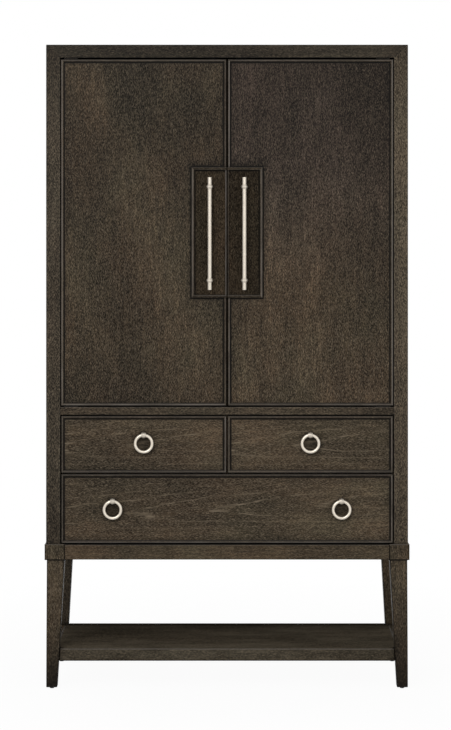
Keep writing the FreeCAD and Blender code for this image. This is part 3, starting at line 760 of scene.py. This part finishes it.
def champagne_metal(name, shade):
    """Pale satin metal with fine brushing, faint handling marks and dark creases."""
    look = settings("metal")
    material, tree, surface = blank_material("champagne_metal_" + name)
    place = own_place(tree)
    handled = ranged(tree, cloud(tree, place, "Z", HANDLED), *HANDLED.span, 0.0, 0.4)
    colour = blended(tree, handled, look.champagne, look.tarnish)
    corner = add(tree, "AmbientOcclusion", {"Distance": CREASE_REACH}, samples=CORNER_SAMPLES).outputs["AO"]
    colour = blended(tree, ranged(tree, corner, *CREASE_SPAN, 0.8, 0.0), colour, look.crease)
    brushed = cloud(tree, place, "Z", PULL_BRUSHING)
    level = product(tree, shade, toned(tree, brushed, PULL_BRUSHING))
    colour = blended(tree, 1.0, colour, level, "MULTIPLY")
    coat(tree, surface, colour, ranged(tree, brushed, *PULL_BRUSHING.span, 0.28, 0.42))
    surface.inputs["Metallic"].default_value = 0.7
    raise_grain(tree, surface, brushed, strength=0.06, depth=0.0002)
    return material


def pivot_steel():
    """Brushed blackened steel of the pivots and shelf pins."""
    look = settings("metal")
    material, tree, surface = blank_material("pivot_steel_brushed")
    brushed = cloud(tree, own_place(tree), "X", STEEL_BRUSHING)
    share = ranged(tree, brushed, *STEEL_BRUSHING.span, 0.72, 1.0)
    colour = blended(tree, share, look.steel_deep, look.steel)
    coat(tree, surface, colour, ranged(tree, brushed, 0.2, 0.8, 0.30, 0.48))
    surface.inputs["Metallic"].default_value = 1.0
    return material


def moulded_black():
    """Fine-grained black plastic of the glides and catches."""
    look = settings("metal")
    material, tree, surface = blank_material("black_plastic_moulded")
    grain = cloud(tree, own_place(tree), "Z", MOULDED_GRAIN)
    share = ranged(tree, grain, *MOULDED_GRAIN.span, 0.0, 0.25)
    colour = blended(tree, share, look.black, look.black_grain)
    coat(tree, surface, colour, ranged(tree, grain, *MOULDED_GRAIN.span, 0.5, 0.68))
    surface.inputs["Specular IOR Level"].default_value = 0.15
    raise_grain(tree, surface, grain, strength=0.2, depth=0.0003)
    return material


# Finishing of CAD nodes

WELD_REACH = 0.00002
EDGE_SEGMENTS = 2
EDGE_ANGLE = math.radians(40)


def finish(name, material):
    """Give a CAD node its finish."""
    slots = NODES[name].material_slots
    if not slots:
        raise RuntimeError(name + " has no material slot")
    for slot in slots:
        slot.link = "OBJECT"
        slot.material = material


def ease_edges(name, width):
    """Round the edges of a board a little."""
    board = NODES[name]
    weld = board.modifiers.new("joined_faces", "WELD")
    weld.merge_threshold = WELD_REACH
    ease = board.modifiers.new("eased_edges", "BEVEL")
    ease.width = width
    ease.segments = EDGE_SEGMENTS
    ease.limit_method = "ANGLE"
    ease.angle_limit = EDGE_ANGLE
    ease.use_clamp_overlap = False
    ease.harden_normals = False


def finish_boards(names, material, widths=1):
    """Finish a group of like boards and ease their edges by one or more widths of the usual rounding."""
    for name in names:
        finish(name, material)
        ease_edges(name, widths * settings("wood").edge_round)


# Beads

BEAD_STEPS = 14
BEAD_CREASE = math.radians(50)
WAVER_SCALE = 9.0
# Unevenness of the wear and painted highlight along a bead
WEAR_SCALE = 26.0
WEAR_MEAN = 0.75
WEAR_SWING = 0.45


def bead_profile(width, rise, nose, crest=0.45, reach=0.0026, outer=1.0):
    """(across, up, wear and highlight, glaze and shade) points from the outer foot of a bead over its nose
    to the inner foot; the feet take glaze with painted shade, the crest wear with a painted highlight.
    """
    points = [(0.0, 0.0, 0.0, outer)]
    for step in range(BEAD_STEPS + 1):
        across = width * step / BEAD_STEPS
        inside = min(nose, across, width - across)
        up = rise - nose + math.sqrt(nose ** 2 - (nose - inside) ** 2)
        rubbed = max(0.0, 1.0 - abs(across - width * crest) / reach)
        foot_shade = (1.0 - inside / nose) * (outer if 2 * across < width else 1.0)
        points.append((across, up, rubbed, foot_shade))
    points.append((width, 0.0, 0.0, 1.0))
    return points


def add_strip(mesh, layers, profile, wear_and_highlight, start, along, inward, length, mitres):
    """One bead strip as closed faces, with mitred or square ends and a slight waver along it."""
    bead = settings("bead")
    stretches = max(2, round(length / bead.station))
    rows = []
    for stretch in range(stretches + 1):
        share = stretch / stretches
        row = []
        for across, up, rubbed, foot_shade in profile:
            near = across if mitres[0] else 0.0
            far = length - (across if mitres[1] else 0.0)
            run = near + (far - near) * share
            place = start + along * run + inward * across
            free = up > 0.0 and 0 < stretch < stretches
            sway = noise.noise(place * WAVER_SCALE) * bead.waver if free else 0.0
            vertex = mesh.verts.new(place + OUT * (up - abs(sway)))
            uneven = WEAR_MEAN + WEAR_SWING * noise.noise(place * WEAR_SCALE)
            vertex[layers["wear_and_highlight"]] = wear_and_highlight * rubbed * uneven
            vertex[layers["glaze_and_shade"]] = foot_shade
            row.append(vertex)
        rows.append(row)
    count = len(profile)
    for first, second in zip(rows, rows[1:]):
        for index in range(count):
            following = (index + 1) % count
            mesh.faces.new((first[index], first[following], second[following], second[index]))
    mesh.faces.new(rows[0])
    mesh.faces.new(reversed(rows[-1]))


def bead_object(name, strips, material, body, node):
    """A piece made of bead strips, standing for a beading node."""
    mesh = bmesh.new()
    layers = {layer: mesh.verts.layers.float.new(layer) for layer in ("wear_and_highlight", "glaze_and_shade")}
    for strip in strips:
        add_strip(mesh, layers, *strip)
    bmesh.ops.recalc_face_normals(mesh, faces=mesh.faces)
    data = bpy.data.meshes.new(name)
    mesh.to_mesh(data)
    mesh.free()
    data.shade_smooth()
    data.set_sharp_from_angle(angle=BEAD_CREASE)
    data.materials.append(material)
    piece = bpy.data.objects.new(name, data)
    bpy.context.scene.collection.objects.link(piece)
    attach(piece, body)
    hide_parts(node)
    return piece


def rail_run(left, right, y, z, way, mitres, profile, wear_and_highlight):
    """A strip along X: way is 1 where the bead grows upward from z, and -1 where it grows downward."""
    return profile, wear_and_highlight, Vector((left, y, z)), RIGHT, UP * way, right - left, mitres


def stile_run(bottom, top, x, y, way, mitres, profile, wear_and_highlight):
    """A strip along Z: way is 1 where the bead grows to the right of x, and -1 where it grows left."""
    return profile, wear_and_highlight, Vector((x, y, bottom)), UP, RIGHT * way, top - bottom, mitres


def bead_rise(front, beading):
    """How far a beading stands out of its front."""
    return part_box(front)[0].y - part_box(beading)[0].y


# Case and base

class ARMOIRE_OT_base(Operator):
    """Finish the legs, aprons, stretchers and lower shelf in smoked wood."""

    bl_idname = "armoire.base"
    bl_label = "Base"

    def execute(self, context):
        finish_legs()
        finish_aprons()
        finish_lower_shelf()
        return {"FINISHED"}


def finish_legs():
    """Finish the legs, with painted shade towards the floor and under the case."""
    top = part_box("front_left_leg")[1].z
    foot = Fade("Z", start=0.0, end=0.30, least=0.1)
    left_fades = (foot, Fade("Z", start=top, end=top - 0.16, least=0.55))
    right_fades = (foot, Fade("Z", start=top, end=top - 0.06, least=0.7))
    # The front left, rear left and right legs are lit and shaded copies of one wood: the rear leg is
    # painted in shade, and the right legs darker than the front left one
    front = smoked_wood("left_leg", "Z", shade=2.3, speck=0.55, streak=1.3, fades=left_fades)
    rear = smoked_wood("rear_leg", "Z", shade=1.3, speck=0.55, streak=1.3, ash=0.5, fades=left_fades)
    right = smoked_wood("right_leg", "Z", shade=1.46, speck=0.75, streak=1.3, fades=right_fades)
    finish_boards(("front_left_leg",), front, widths=2)
    finish_boards(("rear_left_leg",), rear, widths=2)
    finish_boards(RIGHT_LEGS, right, widths=2)


def finish_aprons():
    """Finish the aprons and stretchers, with painted shade in the groove along the top of the long aprons.
    """
    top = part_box("front_apron")[1].z
    groove = Fade("Z", start=top - 0.9 * APRON_GROOVE, end=top - 1.1 * APRON_GROOVE, least=0.1)
    across = smoked_wood("apron", "X", shade=1.25, speck=0.45, streak=1.5, fades=(groove,))
    deep = smoked_wood("deep", "Y", shade=1.1, speck=0.45, streak=1.5)
    finish_boards(("front_apron", "rear_apron"), across)
    finish_boards(DEEP_BOARDS, deep)


def finish_lower_shelf():
    """Finish the lower shelf, with painted shade to the back, on its front edge and underneath."""
    low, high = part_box("lower_shelf")
    fades = (
        Fade("Y", start=high.y, end=low.y, least=0.5),
        Fade("Y", start=high.y, end=high.y - 0.07, least=0.2),
        Fade("Y", start=low.y + 0.001, end=low.y + 0.012, least=0.54),
        Fade("Z", start=low.z + 0.001, end=low.z + 0.0045, least=0.1),
    )
    # The top has no shine: its pale grey tone stands for a painted reflection, and its front top edge
    # carries a strong painted highlight
    wood = smoked_wood(
        "shelf", "X", shade=2.9, speck=0.3, streak=1.2, sheen=0.0, rub=1.8, ash=0.8, fades=fades,
    )
    finish_boards(("lower_shelf",), wood, widths=2)


class ARMOIRE_OT_face_frame(Operator):
    """Finish the stiles and the rail between doors and drawers in smoked wood."""

    bl_idname = "armoire.face_frame"
    bl_label = "Face frame"

    def execute(self, context):
        low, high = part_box("left_stile")
        # Both stiles are painted darker towards their top and bottom ends as shade; less painted shade goes
        # into their corners, and a painted highlight onto their side edges
        ends = (
            Fade("Z", start=high.z, end=high.z - 0.32, least=0.5),
            Fade("Z", start=low.z, end=low.z + 0.16, least=0.7),
        )
        shared = {"fades": ends, "grime": 0.2, "side_rub": 0.35}
        left = smoked_wood("left_stile", "Z", shade=1.02, speck=1.05, patchy=0.9, ash=0.5, **shared)
        right = smoked_wood("right_stile", "Z", shade=1.64, speck=1.1, patchy=0.8, ash=0.4, **shared)
        rail = smoked_wood("mid_rail", "X", shade=0.95, speck=1.0, streak=1.5, ash=0.3)
        finish_boards(("left_stile",), left)
        finish_boards(("right_stile",), right)
        finish_boards(("mid_rail",), rail)
        return {"FINISHED"}


def pin_hole_rows():
    """Short rows of spare holes above and below each shelf pin, painted in shade."""
    low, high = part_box("shelf_pins")
    half = HOLES_EACH_WAY * HOLE_PITCH
    rows = []
    for depth in (low.y + DOT_RADIUS, high.y - DOT_RADIUS):
        for level in (low.z + DOT_RADIUS, high.z - DOT_RADIUS):
            rows.append(("Y", depth, "Z", level - half, level + half, 2 * HOLES_EACH_WAY + 1))
    return rows


def back_screw_rows():
    """Rows of screws round the edge of the back panel."""
    low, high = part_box("back_panel")
    left, right = low.x + SCREW_INSET, high.x - SCREW_INSET
    bottom, top = low.z + SCREW_INSET, high.z - SCREW_INSET
    upright = [("X", x, "Z", bottom, top, SCREWS_UP) for x in (left, right)]
    level = [("Z", z, "X", left, right, SCREWS_ACROSS) for z in (bottom, top)]
    return upright + level


class ARMOIRE_OT_case(Operator):
    """Finish the sides, the back, and the top with its rail in smoked wood."""

    bl_idname = "armoire.case"
    bl_label = "Case"

    def execute(self, context):
        side = smoked_wood("side", "Z", shade=1.15, ash=0.5, holes=pin_hole_rows())
        top = smoked_wood("top", "X", shade=0.81, speck=0.45, streak=1.5, rub=0.0, ash=0.6)
        finish_boards(SIDES, side)
        finish_boards(("top_rail", "case_top"), top)
        finish("back_panel", smoked_wood("back", "Z", shade=0.9, screws=back_screw_rows()))
        return {"FINISHED"}


class ARMOIRE_OT_inside(Operator):
    """Finish the deck, shelves, stemware rails, bottle cradles and what carries the drawers."""

    bl_idname = "armoire.inside"
    bl_label = "Inner fittings"

    def execute(self, context):
        inner = {"shade": 1.2, "speck": 0.45, "streak": 1.5}
        finish_boards(INNER_ACROSS, smoked_wood("inner_across", "X", **inner))
        finish_boards(INNER_DEEP, smoked_wood("inner_deep", "Y", **inner))
        finish_boards(("dust_panel",), drawer_wood("carcase_across", "X"))
        deep = drawer_wood("carcase_deep", "Y")
        finish_boards(("drawer_partition", "drawer_runners"), deep)
        return {"FINISHED"}


# Doors

DOOR_HEART_DEPTH = 0.09
PLATE_OVERRUN = 0.1


class DoorBeads(NamedTuple):
    """Wear with a painted highlight on one door's beads, where on the hinge and meeting beads it is
    strongest, and the painted shade at the meeting bead's outer foot.
    """

    hinge_crest: float
    hinge_lit_wear: float
    meeting_crest: float
    meeting_shade: float
    sill_lit_wear: float
    low_lit_wear: float
    high_lit_wear: float
    lip_lit_wear: float


# Light falls differently on the two doors, so each gets its own painted highlights and shade on the beads
DOOR_BEADS = {
    "left": DoorBeads(
        hinge_crest=0.36, hinge_lit_wear=1.2, meeting_crest=0.4, meeting_shade=0.35,
        sill_lit_wear=1.5, low_lit_wear=0.4, high_lit_wear=0.5, lip_lit_wear=1.6,
    ),
    "right": DoorBeads(
        hinge_crest=0.16, hinge_lit_wear=2.4, meeting_crest=0.55, meeting_shade=1.0,
        sill_lit_wear=1.0, low_lit_wear=1.1, high_lit_wear=2.2, lip_lit_wear=0.3,
    ),
}


def door_tones(side, low, high):
    """How the two doors differ: the left one is darker round its rim, both are painted in shade towards the
    top, the right one most, and the right one also has painted shade by its meeting edge and a cooler tone
    above.
    """
    if side == "left":
        fades = (Fade("Z", start=high.z, end=low.z, least=0.86),)
        return {"shade": 1.10, "rim_shade": 0.68, "rim_reach": 0.08, "fades": fades}
    fades = (
        Fade("Z", start=high.z, end=low.z, least=0.55),
        Fade("X", start=low.x, end=low.x + 0.05, least=0.74),
    )
    cool_head = (low.z + 0.35, low.z + 0.75)
    return {"shade": 1.25, "rim_shade": 0.92, "rim_reach": 0.018, "fades": fades, "cool_head": cool_head}


def finish_door(door):
    """Finish one door panel and its handle plate."""
    bead = settings("bead")
    side = door.split("_")[0]
    low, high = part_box(door + "_panel")
    plate_low, plate_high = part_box(side + "_handle_plate")
    heart = ((low.x + high.x) / 2, high.y + DOOR_HEART_DEPTH, (low.z + high.z) / 2)
    panel_wood = smoked_wood(
        door, "Z", speck=0.95, streak=1.6, heart=heart, figure=0.15, patchy=1.25,
        rim=(low, high, bead.front_width), plate=(plate_low, plate_high), **door_tones(side, low, high),
    )
    # The plate has no bead where the doors meet, so its rim runs past that edge
    overrun = RIGHT * PLATE_OVERRUN
    rim_low = plate_low - overrun if side == "right" else plate_low
    rim_high = plate_high + overrun if side == "left" else plate_high
    plate_wood = smoked_wood(
        side + "_plate", "Z", shade=0.52, speck=0.9, sheen=0.3,
        rim=(rim_low, rim_high, bead.plate_width),
    )
    finish(door + "_panel", panel_wood)
    finish(side + "_handle_plate", plate_wood)


def bead_door(door, rail_wood, stile_wood, lit_hinge_wood):
    """Shape the beads round one door and its handle plate."""
    bead = settings("bead")
    side = door.split("_")[0]
    left = side == "left"
    look = DOOR_BEADS[side]
    beading = door + "_beading"
    low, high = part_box(door + "_panel")
    plate_low, plate_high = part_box(side + "_handle_plate")
    hinge_x, meet_x = (low.x, high.x) if left else (high.x, low.x)
    outer_x = plate_low.x if left else plate_high.x
    hinge_way = 1 if left else -1
    meet_way = -hinge_way

    size = (bead.front_width, bead_rise("wide_drawer_front", "wide_drawer_beading"), bead.front_nose)
    head = bead_profile(*size)
    sill = bead_profile(*size, crest=0.35, reach=0.0036)
    hinged = bead_profile(*size, crest=look.hinge_crest, reach=0.0046, outer=0.0)
    meeting = bead_profile(*size, crest=look.meeting_crest, outer=look.meeting_shade)
    plate_size = (bead.plate_width, bead_rise(side + "_handle_plate", beading), bead.plate_nose)
    plate_head = bead_profile(*plate_size, crest=0.8)
    plate_side = bead_profile(*plate_size, crest=0.4, reach=0.0042)
    lip = bead_profile(bead.lip_width, bead.lip_rise, bead.lip_rise * 0.9, reach=0.0032)

    line = (low.x, high.x, low.y)
    plate_line = (plate_low.x, plate_high.x, plate_low.y)
    plate_ends = (left, not left)
    # The last value of each strip is its lit wear: wear with a painted highlight
    rails = [
        rail_run(*line, low.z, 1, MITRED, sill, look.sill_lit_wear),
        rail_run(*line, high.z, -1, MITRED, head, 0.7),
        rail_run(*plate_line, plate_low.z, 1, plate_ends, plate_head, 0.5),
        rail_run(*plate_line, plate_high.z, -1, plate_ends, plate_head, 0.2),
    ]
    plate_rise = (plate_low.z, plate_high.z)
    stiles = [
        stile_run(low.z, plate_low.z, meet_x, low.y, meet_way, (True, False), meeting, look.low_lit_wear),
        stile_run(plate_high.z, high.z, meet_x, low.y, meet_way, (False, True), meeting, look.high_lit_wear),
        stile_run(*plate_rise, outer_x, plate_low.y, hinge_way, MITRED, plate_side, 1.0),
        stile_run(*plate_rise, meet_x, plate_low.y, meet_way, SQUARE, lip, look.lip_lit_wear),
    ]
    hinge_side = [stile_run(low.z, high.z, hinge_x, low.y, hinge_way, MITRED, hinged, look.hinge_lit_wear)]
    bead_object(door + "_bead_rails", rails, rail_wood, door, beading)
    bead_object(door + "_bead_stiles", stiles, stile_wood, door, beading)
    bead_object(door + "_bead_hinge_side", hinge_side, lit_hinge_wood, door, beading)


class ARMOIRE_OT_doors(Operator):
    """Finish the door panels and handle plates, and shape their beads."""

    bl_idname = "armoire.doors"
    bl_label = "Doors"

    def execute(self, context):
        rail_wood = smoked_wood("door_bead_rail", "X", shade=0.75, speck=0.5)
        stile_wood = smoked_wood("door_bead_stile", "Z", shade=0.75, speck=0.5, grime=0.8)
        # The hinge-side beads get a lighter copy with less painted shade in corners: a painted highlight
        lit_hinge_wood = smoked_wood("hinge_bead", "Z", shade=1.2, speck=0.5, grime=0.35)
        for door in DOORS:
            finish_door(door)
            bead_door(door, rail_wood, stile_wood, lit_hinge_wood)
        return {"FINISHED"}


# Drawers

DRAWER_HEART_DEPTH = 0.03


def finish_drawer(drawer, side_wood, floor_wood):
    """Finish one drawer's front, box and bottom."""
    low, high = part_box(drawer + "_front")
    heart = ((low.x + high.x) / 2, high.y + DRAWER_HEART_DEPTH, (low.z + high.z) / 2)
    front_wood = smoked_wood(
        drawer, "X", shade=1.68, speck=0.65, streak=0.8, heart=heart, figure=0.75,
        rim=(low, high, settings("bead").front_width), rim_shade=0.72, rim_reach=0.03,
        pulls=DRAWER_RINGS[drawer],
    )
    finish(drawer + "_front", front_wood)
    finish(drawer + "_box", side_wood)
    finish(drawer + "_bottom", floor_wood)


def bead_drawer(drawer, rail_wood, stile_wood):
    """Shape the bead round one drawer front."""
    bead = settings("bead")
    beading = drawer + "_beading"
    low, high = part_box(drawer + "_front")
    size = (bead.front_width, bead_rise(drawer + "_front", beading), bead.front_nose)
    plain = bead_profile(*size)
    # Lit wear sets each bead's painted highlight: the wide drawer's sill and the right stile beads get the
    # most
    sill_crest, sill_lit_wear = (0.28, 1.5) if drawer == "wide_drawer" else (0.35, 0.8)
    sill = bead_profile(*size, crest=sill_crest, reach=0.0036)
    rails = [
        rail_run(low.x, high.x, low.y, low.z, 1, MITRED, sill, sill_lit_wear),
        rail_run(low.x, high.x, low.y, high.z, -1, MITRED, plain, 0.4),
    ]
    stiles = [
        stile_run(low.z, high.z, low.x, low.y, 1, MITRED, plain, 0.8),
        stile_run(low.z, high.z, high.x, low.y, -1, MITRED, plain, 1.5),
    ]
    bead_object(drawer + "_bead_rails", rails, rail_wood, drawer, beading)
    bead_object(drawer + "_bead_stiles", stiles, stile_wood, drawer, beading)


class ARMOIRE_OT_drawers(Operator):
    """Finish the drawer fronts and boxes, and shape their beads."""

    bl_idname = "armoire.drawers"
    bl_label = "Drawers"

    def execute(self, context):
        rail_wood = smoked_wood("drawer_bead_rail", "X", shade=0.85, speck=0.5)
        stile_wood = smoked_wood("drawer_bead_stile", "Z", shade=0.85, speck=0.5)
        side_wood = drawer_wood("side", "Y")
        floor_wood = drawer_wood("floor", "X")
        for drawer in DRAWER_RINGS:
            finish_drawer(drawer, side_wood, floor_wood)
            bead_drawer(drawer, rail_wood, stile_wood)
        return {"FINISHED"}


# Fittings

class ARMOIRE_OT_fittings(Operator):
    """Finish the pulls, rings, pivots, pins, glides and catches."""

    bl_idname = "armoire.fittings"
    bl_label = "Metal and small fittings"

    def execute(self, context):
        # The ring metal is a lighter copy and the stud metal a darker copy of the bars' metal: painted
        # light and painted shade
        groups = (
            (BAR_NODES, champagne_metal("bar", shade=1.06)),
            (RING_NODES, champagne_metal("ring", shade=1.22)),
            (STUD_NODES, champagne_metal("stud", shade=0.9)),
            (STEEL_NODES, pivot_steel()),
            (BLACK_NODES, moulded_black()),
        )
        for names, material in groups:
            for name in names:
                finish(name, material)
        return {"FINISHED"}


# Stage

WHITE = (1.0, 1.0, 1.0, 1.0)
FLOOR_GREY = (0.90, 0.90, 0.90, 1.0)
FLOOR_HALF = 30.0
SHADOW_BAND = (0.5, 2.2)
KEY_PLACE = (-1.9, -5.2, 3.5)
KEY_SIZE = 2.3
FILL_PLACE = (2.9, -5.0, 1.9)
FILL_SIZE = 4.4
LIT_POINT = (0.0, 0.0, 1.0)
SENSOR_WIDTH = 36.0
FARTHEST = 200.0


def white_for_view(tree):
    """1 for rays from the camera, mirrors and glass, so that they see the white background."""
    path = add(tree, "LightPath").outputs
    rays = ("Is Camera Ray", "Is Glossy Ray", "Is Transmission Ray")
    return combined(tree, "MAXIMUM", *[path[ray] for ray in rays])


def floor_material(stage):
    """Pale floor that looks white to the camera and keeps a soft shadow near the middle."""
    material, tree, surface = blank_material("pale_floor")
    surface.inputs["Base Color"].default_value = FLOOR_GREY
    surface.inputs["Roughness"].default_value = 0.9
    output = next(node for node in tree.nodes if node.type == "OUTPUT_MATERIAL")
    white = add(tree, "Emission", {"Color": WHITE, "Strength": 1.0})
    place = own_place(tree)
    reach = add(tree, "VectorMath", {0: place}, operation="LENGTH").outputs["Value"]
    kept = ranged(tree, reach, *SHADOW_BAND, stage.floor_shadow, 0.0)
    share = product(tree, white_for_view(tree), difference(tree, 1.0, kept))
    shown = add(tree, "MixShader", {0: share, 1: surface.outputs[0], 2: white.outputs[0]})
    tree.links.new(shown.outputs[0], output.inputs["Surface"])
    return material


def pale_floor(stage):
    """A wide flat floor under the armoire."""
    mesh = bpy.data.meshes.new("pale_floor")
    signs = ((-1, -1), (1, -1), (1, 1), (-1, 1))
    corners = [(x * FLOOR_HALF, y * FLOOR_HALF, 0.0) for x, y in signs]
    mesh.from_pydata(corners, [], [(0, 1, 2, 3)])
    mesh.materials.append(floor_material(stage))
    floor = bpy.data.objects.new("pale_floor", mesh)
    bpy.context.scene.collection.objects.link(floor)


def soft_world(stage):
    """Even light from all round, white where it is seen."""
    world = bpy.data.worlds.new("soft_studio")
    world.use_nodes = True
    tree = world.node_tree
    tree.nodes.clear()
    light = add(tree, "Background", {"Color": WHITE, "Strength": stage.ambient}).outputs[0]
    seen = add(tree, "Background", {"Color": WHITE, "Strength": 1.0}).outputs[0]
    shown = add(tree, "MixShader", {0: white_for_view(tree), 1: light, 2: seen})
    output = tree.nodes.new("ShaderNodeOutputWorld")
    tree.links.new(shown.outputs[0], output.inputs["Surface"])
    bpy.context.scene.world = world


def soft_light(name, place, size, power):
    """A large square lamp turned towards the armoire."""
    data = bpy.data.lights.new(name, "AREA")
    data.shape = "SQUARE"
    data.size = size
    data.energy = power
    lamp = bpy.data.objects.new(name, data)
    lamp.location = place
    lamp.rotation_euler = (Vector(LIT_POINT) - Vector(place)).to_track_quat("-Z", "Y").to_euler()
    bpy.context.scene.collection.objects.link(lamp)


def front_camera(stage):
    """A level camera in front of the armoire."""
    scene = bpy.context.scene
    data = bpy.data.cameras.new("front_camera")
    data.lens = stage.lens
    data.sensor_width = SENSOR_WIDTH
    data.shift_y = stage.lens_shift
    data.clip_end = FARTHEST
    camera = bpy.data.objects.new("front_camera", data)
    camera.location = stage.camera_place
    camera.rotation_euler = (math.pi / 2, 0.0, 0.0)
    scene.collection.objects.link(camera)
    scene.camera = camera


class ARMOIRE_OT_stage(Operator):
    """Set up the pale floor, the soft light and the camera."""

    bl_idname = "armoire.stage"
    bl_label = "Stage"

    def execute(self, context):
        stage = settings("stage")
        context.scene.view_settings.view_transform = "Standard"
        pale_floor(stage)
        soft_world(stage)
        soft_light("key_light", KEY_PLACE, KEY_SIZE, stage.key_power)
        soft_light("fill_light", FILL_PLACE, FILL_SIZE, stage.fill_power)
        front_camera(stage)
        return {"FINISHED"}


# Sidebar and registration

OPERATORS = (
    ARMOIRE_OT_base, ARMOIRE_OT_face_frame, ARMOIRE_OT_case, ARMOIRE_OT_inside, ARMOIRE_OT_doors,
    ARMOIRE_OT_drawers, ARMOIRE_OT_fittings, ARMOIRE_OT_stage,
)
GROUPS = {"wood": ArmoireWood, "metal": ArmoireMetal, "bead": ArmoireBead, "stage": ArmoireStage}


class ARMOIRE_PT_sidebar(Panel):
    """Sidebar list of the armoire's operators."""

    bl_idname = "ARMOIRE_PT_sidebar"
    bl_label = "Bar Armoire"
    bl_space_type = "VIEW_3D"
    bl_region_type = "UI"
    bl_category = "Armoire"

    def draw(self, context):
        for operator in OPERATORS:
            self.layout.operator(operator.bl_idname)


def register():
    for group in GROUPS.values():
        bpy.utils.register_class(group)
    for name, group in GROUPS.items():
        setattr(bpy.types.Scene, "armoire_" + name, PointerProperty(type=group))
    for operator in OPERATORS:
        bpy.utils.register_class(operator)
    bpy.utils.register_class(ARMOIRE_PT_sidebar)


def unregister():
    bpy.utils.unregister_class(ARMOIRE_PT_sidebar)
    for operator in reversed(OPERATORS):
        bpy.utils.unregister_class(operator)
    for name, group in GROUPS.items():
        delattr(bpy.types.Scene, "armoire_" + name)
        bpy.utils.unregister_class(group)


def main():
    register()
    bpy.ops.armoire.base()
    bpy.ops.armoire.face_frame()
    bpy.ops.armoire.case()
    bpy.ops.armoire.inside()
    bpy.ops.armoire.doors()
    bpy.ops.armoire.drawers()
    bpy.ops.armoire.fittings()
    bpy.ops.armoire.stage()


if __name__ == "__main__":
    main()
